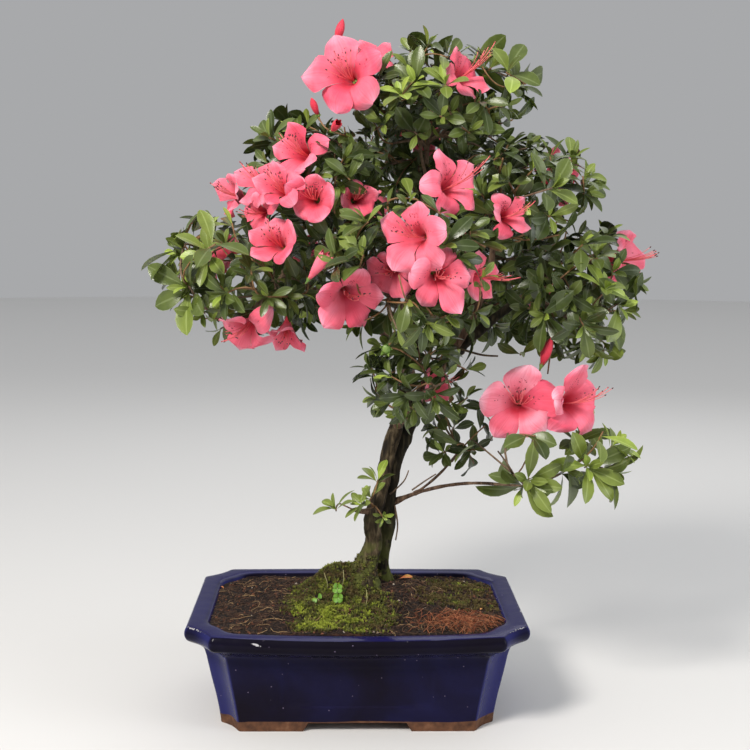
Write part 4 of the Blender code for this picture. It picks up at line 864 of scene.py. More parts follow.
def limb_surface(limbs):
    """Return a search tree over the surface of every planned limb."""
    heap = Heap()
    for name, (run, directions) in limbs.items():
        rule = trunk_reach(name) if name in TRUNKS else None
        heap.add(*tube(run, PLAN_SIDES[limb_kind(name)], directions, rule))
    return BVHTree.FromPolygons(heap.points, heap.faces)


# Bark

def stretched_noise(place, width, stretch):
    """Return a noise of a width at a place, stretched upright."""
    return noise.noise(Vector((place.x, place.y, place.z / stretch)) / width)


def bark_relief(place, radius):
    """Return how far the bark stands out at a place on a limb: upright ridges, grain and swellings."""
    ridges = 1.0 - 3.2 * abs(stretched_noise(place, *BARK_PLATE[1:]))
    grain = BARK_GRAIN[0] * stretched_noise(place, *BARK_GRAIN[1:])
    swell = BARK_SWELL[0] * stretched_noise(place, *BARK_SWELL[1:])
    return (BARK_PLATE[0] * ridges + grain + swell) * min(1.0, radius / BARK_FULL_RADIUS)


def trunk_shape(name):
    """Return the rule of a trunk's full shape: flare, roots, knobs and bark."""
    plain = trunk_reach(name)

    def reach_at(centre, radius, out, turn):
        reach = plain(centre, radius, out, turn)
        facing = math.atan2(out.y, out.x)
        for side, rise in ROOTS[name]:
            away = math.remainder(facing - math.radians(side), math.tau)
            reach += rise * math.exp((GROUND - centre.z) / ROOT_HEIGHT) * gauss_bump(away, ROOT_SPREAD)
        for height, side, rise, size in KNOBS[name]:
            away = math.remainder(facing - math.radians(side), math.tau) * radius
            reach += rise * gauss_bump(math.hypot(centre.z - height, away), size)
        share, shift = TRUNK_THIN[name]
        low, high = TRUNK_THIN_TOP
        thin = smooth_step((high - centre.z) / (high - low))
        reach += thin * (reach * (share - 1.0) + shift * out.x)
        return reach + bark_relief(centre + out * reach, radius)
    return reach_at


def bough_shape(start, parent_radius):
    """Return the rule of a bough's full shape: a collar where it leaves its parent, and bark."""
    def reach_at(centre, radius, out, turn):
        away = max(0.0, (centre - start).length - parent_radius)
        collar = 1.0 + COLLAR_RISE * math.exp(-away / (COLLAR_LENGTH * radius))
        node = BOUGH_NODE * math.sin(away * 420.0) * math.sin(away * 150.0)
        return radius * (collar + node) + bark_relief(centre + out * radius, radius)
    return reach_at


def build_bark(limbs):
    """Make the trunks and boughs with their bark."""
    skins = {name: bark_finish(*colours) for name, colours in BARKS.items()}
    for name, (run, directions) in limbs.items():
        if name in TRUNKS:
            buried = [(run[0][0] - UP * depth, run[0][1]) for depth in BURIED_DEPTHS]
            run, directions, rule = buried + run, [UP] * len(buried) + directions, trunk_shape(name)
        else:
            parent, height = BOUGHS[name][:2]
            run = [(place, radius * BOUGH_THIN.get(name, 1.0)) for place, radius in run]
            rule = bough_shape(run[0][0], nearest_height(limbs[parent][0], height)[1])
        heap = Heap()
        heap.add(*tube(run, FINE_SIDES[limb_kind(name)], directions, rule))
        make_piece("bark_" + name, heap, [skins.get(name, skins["bough"])], [name])


# Growth, by the source's rule

def ratio(point, centre, reach):
    """Return how far out a point lies in an ellipsoid, where 1 is its surface."""
    return math.sqrt(sum(((point[axis] - centre[axis]) / reach[axis]) ** 2 for axis in range(3)))


def space_ratio(name, point):
    """Return how far out a point lies in a mass's space, where 1 is its surface."""
    return ratio(point, *MASSES[name][1:])


def in_own_space(name, point, limit):
    """Tell whether a point is inside a mass's space and in no neighbour's share of it."""
    own = space_ratio(name, point)
    return own <= limit and all(space_ratio(other, point) > own + SPACE_MARGIN
                                for other in MASSES if other != name)


def clear_of_limbs(surface, point, clearance):
    """Tell whether a point keeps its distance from every limb."""
    place, normal, _, distance = surface.find_nearest(point)
    inside = (point - place).dot(normal) < -0.5 * distance
    return distance > clearance and not inside


def clear_of_blooms(name, point):
    """Tell whether a point is clear of the open flowers, by more for another mass's flowers."""
    return all((point - (middle - facing * BLOOM_LEAF_DROP)).length
               >= radius * (OWN_BLOOM_SHARE if owner == name else OTHER_BLOOM_SHARE)
               for owner, blooms in BLOOMS.items() for middle, facing, radius in blooms)


def in_a_bloom(point):
    """Tell whether a point is among the petals of an open flower."""
    return any((point - middle).length < radius * BLOOM_CORE_SHARE for middle, _, radius in ALL_BLOOMS)


def before_a_bloom(point):
    """Tell whether a point stands before the face of an open flower."""
    for middle, facing, radius in ALL_BLOOMS:
        offset = point - middle
        ahead = offset.dot(facing)
        if 0.0 < ahead < BLOOM_VIEW_DEPTH and (offset - facing * ahead).length < radius * BLOOM_VIEW_SHARE:
            return True
    return False


def in_a_gap(point):
    """Tell whether a point is in a place without leaves."""
    return any(ratio(point, *gap) < 1.0 for gap in GAPS)


def beyond_the_box(point):
    """Tell whether a point lies outside the CAD model's box."""
    place = point + SHIFT
    return any(not low - BOX_MARGIN <= level <= high + BOX_MARGIN
               for low, level, high in zip(cad_box[0], place, cad_box[1]))


def mass_size(name):
    """Return how large the shoots of a mass are: a small mass has closer shoots and smaller leaves."""
    return min(1.0, (sum(MASSES[name][2]) / 3 / FULL_REACH) ** 0.6)


def spread_shoots(name, rng, surface, kind, spacing, shoots, taken=()):
    """Add an even spread of shoots to a mass's list, clear of limbs, flowers and what is there already."""
    centre, reach = Vector(MASSES[name][1]), Vector(MASSES[name][2])
    tries, (low, high), clearance = SPREADS[kind]
    for _ in range(tries):
        outward = Vector([rng.gauss(0.0, 1.0) for _ in range(3)]).normalized()
        depth = low + (high - low) * math.sqrt(rng.random())
        place = centre + Vector([outward[axis] * reach[axis] * depth for axis in range(3)])
        if any((place - other[0]).length < spacing for other in (*shoots, *taken)):
            continue
        if not in_own_space(name, place, 1.0) or not clear_of_limbs(surface, place, clearance):
            continue
        blocked = ratio(place, HEART_CENTRE, HEART_REACH) < 1.0 if kind == "first" else (
            before_a_bloom(place) or in_a_gap(place))
        if not blocked and clear_of_blooms(name, place):
            shoots.append((place, (outward + UP * SHOOT_LIFT).normalized(), kind, 0.0))
    return shoots


def first_shoots(name, rng, surface):
    """Return the source's own shoots of a mass: flowers, leaders and an even spread."""
    centre = Vector(MASSES[name][1])
    shoots = [(middle - facing * BLOOM_DEPTH, facing, "bloom", radius)
              for middle, facing, radius in BLOOMS.get(name, ())]
    shoots += [(Vector(place), (Vector(place) - centre).normalized(), "leader", 0.0)
               for place in LEADERS.get(name, ())]
    return spread_shoots(name, rng, surface, "first", SHOOT_SPACING * mass_size(name), shoots)


def fine_shoots(name, rng, surface, taken):
    """Return finer shoots between the first ones: buds, more flowers, whorls and an even spread."""
    shoots = [(middle - facing * length / 2, facing, "bud", (length, mouth))
              for middle, facing, length, mouth in BUDS.get(name, ())]
    shoots += [(middle - facing * BLOOM_DEPTH, facing, "late", radius)
               for middle, facing, radius in MORE_BLOOMS.get(name, ())]
    shoots += [(place, facing, "whorl", (tint, size)) for place, facing, tint, size in WHORLS.get(name, ())]
    return spread_shoots(name, rng, surface, "fine", FINE_SPACING.get(name, FINE_SPACING_ELSE), shoots, taken)


class Tree:
    """The twigs of one mass: places joined to their parents, and the twigs that end in shoots."""

    def __init__(self, name, limbs, surface):
        run, directions = limbs[MASSES[name][0]]
        start, ahead = run[-1][0] + directions[-1] * SEAT_GAP, directions[-1]
        self.name = name
        self.surface = surface
        self.stem_radius = run[-1][1]
        self.places, self.headings, self.parents = [], [], []
        self.add(start, ahead, -1)
        self.add(start + ahead * STEM_LENGTH, ahead, 0)
        self.twigs = [([0, 1], start + ahead * STEM_LENGTH / 2, None)]

    def add(self, place, ahead, parent):
        """Add a place that twigs can grow from and return its number."""
        self.places.append(place)
        self.headings.append(ahead)
        self.parents.append(parent)
        return len(self.places) - 1

    def add_knob(self, place, ahead):
        """Add a short side twig whose end more twigs grow from."""
        knob = self.add(Vector(place), Vector(ahead).normalized(), 0)
        self.twigs.append(([0, knob], self.places[0].lerp(self.places[knob], 0.5) - UP * 0.002, None))

    def course(self, origin, place, steps):
        """Return the control place and the points of a twig that leaves an origin and curves to a place."""
        start = self.places[origin]
        control = start + self.headings[origin] * (place - start).length * TWIG_CURVE
        return control, [curve_place(start, control, place, step / steps) for step in range(1, steps + 1)]

    def passes(self, origin, place, fine):
        """Tell whether a twig from an origin to a place is clear of limbs and keeps to the space."""
        samples = self.course(origin, place, PATH_SAMPLES)[1]
        clearance = TWIG_RADIUS + LIMB_CLEARANCE
        return (all(clear_of_limbs(self.surface, sample, clearance) for sample in samples)
                and not (fine and any(in_a_bloom(sample) for sample in samples[2:-2]))
                and all(in_own_space(self.name, sample, PATH_LIMIT) for sample in samples[:-2]))

    def grow(self, shoots, fine=False):
        """Join every shoot to the nearest place on the tree that it can be reached from."""
        start = self.places[0]
        for place, *shoot in sorted(shoots, key=lambda shoot: (shoot[0] - start).length):
            def cost(index):
                away = place - self.places[index]
                return away.length * (1.5 - 0.5 * away.normalized().dot(self.headings[index]))

            origins = sorted(range(1, len(self.places)), key=cost)[:ORIGIN_TRIES]
            origin = next((index for index in origins if self.passes(index, place, fine)), None)
            if origin is None:
                continue
            control, steps = self.course(origin, place, TWIG_STEPS)
            chain = [origin]
            for step in steps:
                chain.append(self.add(step, (step - self.places[chain[-1]]).normalized(), chain[-1]))
            self.twigs.append((chain, control, shoot))

    def radii(self):
        """Return the radius at each place: a twig carries the twigs that fork from it."""
        load = [0.0] * len(self.places)
        has_child = set(self.parents)
        for index in range(len(self.places) - 1, -1, -1):
            if index not in has_child:
                load[index] += 1.0
            if self.parents[index] >= 0:
                load[self.parents[index]] += load[index]
        return [min(FINE_TWIG_RADIUS * value ** (1 / FINE_FORK_POWER), self.stem_radius) for value in load]


def leaf_checks(root, ahead, normal, length, width, droop):
    """Return the places of a leaf that have to keep to the space and clear of limbs and flowers."""
    half = ahead.cross(normal).normalized() * width / 2
    middle = root + ahead * length * 0.60
    edges = [middle + half + normal * LEAF_RISE, middle - half + normal * LEAF_RISE]
    tip = root + ahead * length - normal * droop
    top = middle + normal * LEAF_RISE * 0.6
    checks = [*edges, tip, top, middle - normal * LEAF_RISE * 0.6]
    checks += [root.lerp(top, share) for share in (0.3, 0.5, 0.75)]
    return checks + [start.lerp(edge, share)
                     for start in (root, tip) for edge in edges for share in (0.4, 0.7)]


def leaves_of_shoot(name, rng, surface, end, axis, facing, whorl, fine=False):
    """Return the leaves of one whorl, without those that would leave the space or touch a limb."""
    count, open_angle, length_full, width_full, root_step = whorl
    least, more = FINE_REACH if fine else FIRST_REACH
    limit = max(least, space_ratio(name, end) + more)
    side = facing.orthogonal().normalized()
    phase = rng.uniform(0.0, math.tau)
    leaves = []
    for step in range(count):
        lean = open_angle + rng.uniform(-LEAF_ANGLE_SPREAD, LEAF_ANGLE_SPREAD)
        around = Quaternion(facing, phase + step * GOLDEN_ANGLE) @ side
        ahead = (facing * math.cos(lean) + around * math.sin(lean) - UP * LEAF_DROOP).normalized()
        normal = (facing - ahead * facing.dot(ahead)).normalized()
        length = length_full * rng.uniform(0.82, 1.10)
        width = width_full * rng.uniform(0.88, 1.08) * (rng.uniform(0.80, 1.10) if fine else 1.0)
        root = end - axis * (LEAF_ROOT_START + root_step * step) - ahead * LEAF_ROOT_SINK
        leaf = (root, ahead, normal, length, width, length * rng.uniform(0.03, 0.12))
        if all(in_own_space(name, point, limit) and clear_of_limbs(surface, point, LIMB_CLEARANCE)
               and clear_of_blooms(name, point)
               and not (fine and (before_a_bloom(point) or beyond_the_box(point)))
               for point in leaf_checks(*leaf)):
            leaves.append(leaf)
    return leaves


# Twigs, leaves and flowers as they show

def leaf_half_width(share):
    """Return half the width of a leaf at a share of its length, where 1 is its full width."""
    if share <= LEAF_STALK:
        return LEAF_STALK_HALF
    blade = (share - LEAF_STALK) / (1 - LEAF_STALK)
    return max(LEAF_STALK_HALF, 0.5 * math.sin(math.pi * blade ** LEAF_FULLNESS[0]) ** LEAF_FULLNESS[1])


def add_leaf(heap, leaf, zone, rng):
    """Add one leaf: a folded, drooping blade on a short stalk."""
    root, ahead, normal, length, width, droop = leaf
    side = ahead.cross(normal).normalized()
    twist = rng.uniform(-0.35, 0.35)
    sway = rng.uniform(-0.06, 0.06) * length
    points, places, faces = [], [], []
    for share in LEAF_ROWS:
        turn = Quaternion(ahead, twist * share)
        across, lift = turn @ side, turn @ normal
        rise = LEAF_ARCH * length * math.sin(math.pi * share) - droop * share * share
        middle = root + ahead * length * share + normal * rise + side * sway * share * share
        reach = leaf_half_width(share) * width
        fold = lift * reach * LEAF_FOLD * 2
        points += [middle - across * reach + fold, middle, middle + across * reach + fold]
        places += [(0.0, share), (0.5, share), (1.0, share)]
    last = len(points) - 3
    for low in range(0, last, 3):
        faces += [(low + 1, low + 4, low + 3, low), (low + 2, low + 5, low + 4, low + 1)]
    faces += [(last + 1, last + 3, last), (last + 2, last + 3, last + 1)]
    points.append(root + ahead * length - normal * droop + side * sway)
    places.append((0.5, 1.0))
    heap.add(points, faces, zone, places)


def leaf_zone(name, place, inner, rng):
    """Return a leaf's tint, from 0 for dark to 3 for young: younger at tips and outer parts."""
    youth = 0.37 + 0.14 * rng.gauss(0.0, 1.0) + (0.27 if inner else 0.0)
    youth += 0.22 * (space_ratio(name, place) - 0.85)
    youth += 0.22 * (place.x < YOUNG_LEFT) + 0.12 * (place.z > YOUNG_TOP) + 0.10 * (place.x > YOUNG_RIGHT)
    youth += YOUNGER.get(name, 0.0)
    return min(3, max(0, int(youth * 4.4 - 0.5)))


def add_twig(heap, tree, radii, chain, control):
    """Add one twig as a tapering tube along its curve, and return its end and its direction there."""
    start, end = tree.places[chain[0]], tree.places[chain[-1]]
    middle, last = radii[chain[1]], radii[chain[-1]]
    root = min(radii[chain[0]], middle * 1.15)
    run = []
    for step in range(FINE_TWIG_STEPS + 1):
        share = step / FINE_TWIG_STEPS
        taper = (root + (middle - root) * share * 2 if share < 0.5
                 else middle + (last - middle) * (share * 2 - 1))
        run.append((curve_place(start, control, end, share), taper))
    heap.add(*tube(run, 7 if middle > THICK_RADIUS else 5), 0 if middle > WOODY_RADIUS else 1)
    return run[-1][0], run_directions(run)[-1]


class Bloom:
    """An open funnel flower: where it sits, how it is turned and how far each petal curls back."""

    def __init__(self, end, facing, radius, rng):
        upward = UP - facing * UP.dot(facing)
        if upward.length < 0.25:
            upward = facing.orthogonal()
        self.end, self.facing, self.radius = end, facing, radius
        self.depth = BLOOM_DEPTH * min(1.0, radius / FULL_BLOOM_RADIUS)
        self.up = Quaternion(facing, rng.uniform(-0.3, 0.3)) @ upward.normalized()
        self.side = facing.cross(self.up)
        self.open = rng.uniform(0.80, 1.0)
        self.thread = LONG_THREADS if facing.x > 0.45 and facing.y < 0.0 else 1.0 - 0.6 * (facing.z > 0.6)
        self.petals = [{trait: rng.uniform(*spread) for trait, spread in PETAL_SPREADS.items()}
                       for _ in range(5)]

    def petal_place(self, petal, across, along):
        """Return the place on a petal, across it from -1 to 1 and along it from 0 to 1."""
        shape = self.petals[petal]
        radius, depth, curl, wave = self.radius, self.depth, shape["curl"] ** 1.2, shape["wave"]
        reach_stops = (PETAL_ROOT, 0.10 * radius, 0.46 * radius, radius * shape["length"] * self.open)
        lift = (1.20 - 0.70 * curl) * depth + (1.0 - self.open) * radius
        height_stops = (0.0, 0.60 * depth, 1.08 * depth, lift)
        weights = ((1 - along) ** 3, 3 * (1 - along) ** 2 * along, 3 * (1 - along) * along ** 2, along ** 3)
        reach, height = (sum(weight * stop for weight, stop in zip(weights, stops))
                         for stops in (reach_stops, height_stops))
        free = smooth_step((along - PETAL_FUSED) / 0.26)
        outer = max(0.0, along - PETAL_FUSED) / (1 - PETAL_FUSED)
        half = min(reach * math.sin(FIFTH / 2), PETAL_FUSED_HALF * radius)
        full = PETAL_HALF * radius * shape["width"]
        if along > PETAL_WIDEST:
            tip = (along - PETAL_WIDEST) / (1 - PETAL_WIDEST)
            half = full * max(0.0, 1 - tip ** 2) ** 0.74
        elif along > PETAL_FUSED:
            half += (full - half) * smooth_step((along - PETAL_FUSED) / (PETAL_WIDEST - PETAL_FUSED)) ** 0.85
        fused_turn = FIFTH / 2 * across
        lateral = reach * math.sin(fused_turn) * (1 - free) + across * half * free
        lateral += shape["sway"] * radius * outer ** 2
        radial = reach * math.cos(fused_turn) * (1 - free) + reach * free
        height += free * half * across ** 2 * (0.45 - 1.20 * outer)
        height -= free * 0.070 * radius * gauss_bump(across, 0.20) * (1 - 0.6 * outer)
        height += shape["lift"] * (self.facing.y < 0.5) * radius * outer
        height += across * half * shape["twist"] * outer
        ruffle = math.sin(15.0 * along + wave + 2.4 * (across > 0)) + 0.5 * math.sin(29.0 * along + 2 * wave)
        height += free * 0.050 * radius * abs(across) ** 1.7 * ruffle
        height -= 0.18 * curl * radius * outer ** 4
        height += free * PETAL_LAYER * (petal % 2)
        turn = FIFTH * petal + shape["shift"] * outer
        outward = self.up * math.cos(turn) + self.side * math.sin(turn)
        sideways = self.side * math.cos(turn) - self.up * math.sin(turn)
        return self.end + self.facing * height + outward * radial + sideways * lateral

    def add_petals(self, heap, zones):
        """Add the five petals."""
        places = [(column / PETAL_COLUMNS, math.sin(math.pi / 2 * row / PETAL_ROWS) ** 0.9)
                  for row in range(PETAL_ROWS + 1) for column in range(PETAL_COLUMNS + 1)]
        faces = grid_faces(PETAL_ROWS + 1, PETAL_COLUMNS + 1, closed=False)
        for petal, zone in enumerate(zones):
            points = [self.petal_place(petal, 2 * share - 1, along) for share, along in places]
            heap.add(points, faces, zone, places)

    def add_freckles(self, heap, rng):
        """Add the dark dots of the upper petals."""
        for petal in (petal for petal, count in FRECKLES.items() for _ in range(count)):
            along = rng.uniform(0.36, 0.74)
            across = rng.uniform(-0.75, 0.75) * (1.15 - along)
            place = self.petal_place(petal, across, along)
            over = self.petal_place(petal, across + 0.05, along) - place
            ahead = self.petal_place(petal, across, along + 0.02) - place
            normal = over.cross(ahead).normalized()
            if normal.dot(self.facing) < 0:
                normal.negate()
            size = rng.uniform(*FRECKLE_SIZES)
            over, ahead = over.normalized() * size, ahead.normalized() * size * 1.5
            turns = [math.tau * corner / 6 for corner in range(6)]
            ring = [place + normal * FRECKLE_LIFT + over * math.cos(turn) + ahead * math.sin(turn)
                    for turn in turns]
            heap.add(ring, [tuple(range(6))])

    def add_stamens(self, heap, rng):
        """Add the stamens with their dark anthers and the longer pistil."""
        radius = self.radius
        start = self.end + self.facing * THREAD_START
        for number in range(STAMENS + 1):
            pistil = number == STAMENS
            out = self.depth * self.thread * (1.70 if pistil else rng.uniform(1.15, 1.50))
            lift = radius * (0.36 if pistil else rng.uniform(0.10, 0.42))
            swing = radius * (rng.uniform(-0.10, 0.10) if pistil else 0.62 * (number / (STAMENS - 1) - 0.5))
            tip = start + self.facing * out + self.up * lift + self.side * swing
            while beyond_the_box(tip):
                out *= 0.93
                tip = start + self.facing * out + (self.up * lift + self.side * swing) * 0.6
            control = start + self.facing * out * 0.62 - self.up * radius * 0.06 + self.side * swing * 0.3
            thick, length, width = PISTIL if pistil else STAMEN
            heap.add(*tube([(curve_place(start, control, tip, step / 7), thick * (1.15 - 0.25 * step / 7))
                            for step in range(8)], 5))
            ahead = (tip - control).normalized()
            grain = [(tip + ahead * length * step, width * math.sqrt(max(0.04, 1 - step * step)))
                     for step in (-1.0, -0.6, 0.0, 0.6, 1.0)]
            heap.add(*tube(grain, 6, [ahead] * len(grain)), 2 if pistil else 1)


def add_calyx(heap, end, facing, size):
    """Add the small green cup that holds a flower, with five pointed sepals."""
    run = [(end + facing * height * size, reach * size) for height, reach in CALYX_PROFILE]
    heap.add(*tube(run, 10, [facing] * len(run)))
    side = facing.orthogonal().normalized()
    for sepal in range(5):
        out = Quaternion(facing, FIFTH * sepal) @ side
        root = end + out * SEPAL_ROOT * size
        tip = end + out * SEPAL_TIP[0] * size + facing * SEPAL_TIP[1] * size
        across = facing.cross(out) * SEPAL_HALF * size
        heap.add([root - across, root + across, tip], [(0, 1, 2)])


def add_bud(heap, base, facing, length, mouth, zone):
    """Add a bud of five furled petals, closed or with its mouth part open."""
    side = facing.orthogonal().normalized()
    across = facing.cross(side)
    rows, sides = BUD_GRID
    points, places = [], []
    for row in range(rows + 1):
        share = row / rows
        closed = 0.165 * math.sin(math.pi * min(1.0, share * 0.97 + 0.03) ** 1.15) ** 0.8
        opened = 0.05 + 0.34 * share ** 1.8
        for step in range(sides):
            turn = math.tau * step / sides
            lobe = math.cos(5 * turn + 3.0 * share)
            reach = length * (closed * (1 - mouth) + opened * mouth) * (1 + 0.11 * lobe * share)
            height = length * share * (1 + 0.14 * mouth * lobe * share ** 3)
            points.append(base + facing * height + (side * math.cos(turn) + across * math.sin(turn)) * reach)
            places.append((step / sides, 0.4 + 0.45 * share))
    faces = grid_faces(rows + 1, sides)
    if mouth == 0.0:
        faces.append(tuple(range(rows * sides, len(points))))
    heap.add(points, faces, zone, places)


def add_flower(name, heaps, end, facing, radius, rng):
    """Add an open flower in its cup."""
    bloom = Bloom(end, facing, radius * FULL_BLOOMS.get(name, 1.0), rng)
    # Flowers of the lower right take the last tint, a lit copy that is painted light.
    pale = 3 if name in FULL_BLOOMS else 0
    bloom.add_petals(heaps["petals"], [rng.choice((0, 0, 1, pale, pale)) for _ in range(5)])
    bloom.add_freckles(heaps["freckles"], rng)
    bloom.add_stamens(heaps["stamens"], rng)
    add_calyx(heaps["calyces"], end, facing, 1.0)


def sized(whorl, size, step_share=1.0):
    """Return a kind of whorl in another size, with another share of its step along the twig."""
    count, angle, length, width, step = whorl
    return count, angle, length * size, width * size, step * step_share


def grow_mass(name, order, limbs, surface, heaps, leaf_heap):
    """Grow one mass: the source's own shoots first, then the finer ones."""
    rng, fine_rng = random.Random(SEED + order), random.Random(FINE_SEED + order)
    tree = Tree(name, limbs, surface)
    shoots = first_shoots(name, rng, surface)
    if name == "leaves_sprig":
        shoots = []
        tree.add_knob(*SPRIG_KNOB)
    tree.grow(shoots)
    tree.grow(fine_shoots(name, fine_rng, surface, shoots), fine=True)
    radii = tree.radii()
    size = mass_size(name)
    for chain, control, shoot in tree.twigs:
        end, ahead = add_twig(heaps["twigs"], tree, radii, chain, control)
        if shoot is None:
            continue
        facing, kind, measure = shoot
        if kind == "bud":
            length, mouth = measure
            if mouth is not None:
                add_bud(heaps["petals"], end, facing, length, mouth, 0 if mouth > 0.4 else 2)
            add_calyx(heaps["calyces"], end, facing, 1.5 if mouth is None else 0.8)
            continue
        flowering = kind in ("bloom", "late")
        coarse = tree.headings[chain[-1]]
        lowest, scale = measure if kind == "whorl" else (0, 1.0)
        turned = facing if kind == "whorl" else (ahead * TWIG_FACING + facing).normalized()
        if kind in ("fine", "whorl"):
            whorl = (sized(OUTER_WHORL, scale, WHORL_STEP_SHARE) if kind == "whorl"
                     else sized(OUTER_WHORL, fine_rng.uniform(*FINE_SIZES)))
            placed = leaves_of_shoot(name, fine_rng, surface, end, ahead, turned, whorl, fine=True)
        elif flowering:
            placed = [] if kind == "late" else leaves_of_shoot(
                name, rng, surface, end - coarse * BLOOM_LEAF_DROP, coarse, coarse, sized(BLOOM_WHORL, size))
            add_flower(name, heaps, end, facing, measure, fine_rng)
        else:
            source_turned = (coarse * TWIG_FACING + facing).normalized()
            placed = leaves_of_shoot(name, rng, surface, end, coarse, source_turned, sized(FIRST_WHORL, size))
        share = FIRST_SHARE.get(kind, 1.0)
        for root, along, normal, length, width, droop in placed:
            if in_a_gap(root + along * length * 0.7) or before_a_bloom(root + along * length * share * 0.7):
                continue
            zone = max(leaf_zone(name, root, False, fine_rng), lowest - (fine_rng.random() < 0.4))
            leaf = (root, along, normal, length * share, width * share * 0.95, droop * share)
            add_leaf(leaf_heap, leaf, zone, fine_rng)
        if not flowering:
            inner = sized(INNER_WHORL, scale)
            for leaf in leaves_of_shoot(name, fine_rng, surface, end, ahead, turned, inner, fine=True):
                zone = max(leaf_zone(name, leaf[0], True, fine_rng), lowest)
                add_leaf(leaf_heap, leaf, zone, fine_rng)


def build_crown():
    """Grow every mass and make the crown's joined pieces."""
    limbs = plan_limbs(PLAN_STEPS)
    surface = limb_surface(limbs)
    heaps = {kind: Heap() for kind in ("twigs", "petals", "freckles", "stamens", "calyces")}
    leaves = {group: Heap() for group in LEAF_GROUPS}
    for order, name in enumerate(MASSES):
        group = next(group for group, names in LEAF_GROUPS.items() if name in names)
        grow_mass(name, order, limbs, surface, heaps, leaves[group])
    for thick, places in BARE_TWIGS:
        run = smooth_run([(*place, thick * (1.0 - 0.15 * number)) for number, place in enumerate(places)], 5)
        heaps["twigs"].add(*tube(run, 7))
    make_piece("twigs", heaps["twigs"], plain_finishes("twigs"), MASSES)
    greens = [leaf_finish(*tint) for tint in LEAF_TINTS]
    for group, heap in leaves.items():
        make_piece(group, heap, greens, LEAF_GROUPS[group])
    flowering = [name for name in MASSES if name in BLOOMS or name in BUDS]
    make_piece("petals", heaps["petals"], [petal_finish(*tint) for tint in PETAL_TINTS], flowering)
    for kind, slot, nodes in (("freckles", "petals", BLOOMS), ("stamens", "petals", BLOOMS),
                              ("calyces", "leaves", flowering)):
        make_piece(kind, heaps[kind], plain_finishes(kind), nodes)


# Pot

def wall_inset(height):
    """Return the inset of the outer wall at a height, on a smooth curve through its profile."""
    last = len(WALL_PROFILE) - 1
    index = min(last, sum(level <= height for _, level in WALL_PROFILE)) - 1
    low, high = WALL_PROFILE[index][1], WALL_PROFILE[index + 1][1]
    insets = [WALL_PROFILE[min(last, max(0, index + step))][0] for step in (-1, 0, 1, 2)]
    return spline(*insets, (height - low) / (high - low))


def corner_run(inset, rounding):
    """Return the right back corner of the pot's outline, its face scooped and its two edges rounded."""
    share = inset / BASE_INSET
    cut_x, cut_y = (rim + (base - rim) * share for rim, base in zip(RIM_CUT, BASE_CUT))

    def on_cut(along):
        scoop = CUT_SCOOP * math.sin(math.pi * along)
        return Vector((RIM_WIDTH / 2 - inset - cut_x * along - scoop,
                       RIM_DEPTH / 2 - inset - cut_y * (1 - along) - scoop))

    start, end = on_cut(0.0), on_cut(1.0)
    edge = rounding / math.hypot(cut_x, cut_y)
    shares = [step / EDGE_STEPS for step in range(EDGE_STEPS + 1)]
    run = [curve_place(start - Vector((0.0, rounding)), start, on_cut(edge), share) for share in shares]
    run += [on_cut(edge + (1 - 2 * edge) * step / CUT_STEPS) for step in range(1, CUT_STEPS)]
    run += [curve_place(on_cut(1 - edge), end, end - Vector((rounding, 0.0)), share) for share in shares]
    return run


def fine_outline(inset, rounding):
    """Return the pot's outline at an inset, with columns on its long sides for the sunk panels."""
    corner = corner_run(inset, rounding)
    columns = [*LONG_SIDE, *(-column for column in LONG_SIDE[-2::-1])]
    half = [*corner, *(Vector((column, RIM_DEPTH / 2 - inset)) for column in columns),
            *(Vector((-place.x, place.y)) for place in reversed(corner)),
            *(Vector((inset - RIM_WIDTH / 2, y)) for y in SHORT_SIDE)]
    return half + [-place for place in half]


def lip_share(point):
    """Return how much of the lip's unevenness a place has: most at the lip, in the middle of a side."""
    rise = min(1.0, max(0.0, (point.z - LIP_START) / (LIP_FULL - LIP_START)))
    return rise * (1.0 - (2 * point.x / RIM_WIDTH) ** 2)


def bowed(point):
    """Return a place on the pot's wall, bowed outwards near the lip."""
    return point + Vector((0.0, LIP_BOW * lip_share(point) * (2 * point.y / RIM_DEPTH) ** 3, 0.0))


def sagging(point):
    """Return a place on the pot's wall, lowered near the front of the lip."""
    return point - UP * LIP_SAG * lip_share(point) * min(0.0, 2 * point.y / RIM_DEPTH) ** 2


def panel_depth(x, height):
    """Return how deep a place on a long wall lies in the sunk panel."""
    from_side = (PANEL_SIZE[0] / 2 - abs(x)) / PANEL_BEVEL
    from_end = (PANEL_SIZE[1] / 2 - abs(height - PANEL_HEIGHT)) / PANEL_BEVEL
    return PANEL_RECESS * min(1.0, max(0.0, min(from_side, from_end)))


def wall_ring(inset, height, outside=False):
    """Return one ring of the pot's skin; outside it carries the panels and the hand-made unevenness."""
    ring = []
    mouth = 0.0 if outside else smooth_step((inset - MOUTH_START) / MOUTH_WIDTH)
    for place in fine_outline(inset, EDGE_ROUND + (MOUTH_ROUND - EDGE_ROUND) * mouth):
        x, y = place
        if outside:
            if abs(abs(y) - (RIM_DEPTH / 2 - inset)) < 1e-6:
                y -= math.copysign(panel_depth(x, height), y)
            swell = POT_UNEVEN * noise.noise(Vector((x, y, height)) / POT_UNEVEN_WIDTH)
            outward = Vector((x, y)).normalized() * (swell - POT_UNEVEN)
            x, y = x + outward.x, y + outward.y
        point = Vector((x, y, height))
        if height == GLAZE_END:
            point.z += GLAZE_WAVE * noise.noise(point / GLAZE_WAVE_WIDTH)
        ring.append(sagging(bowed(point)))
    return ring


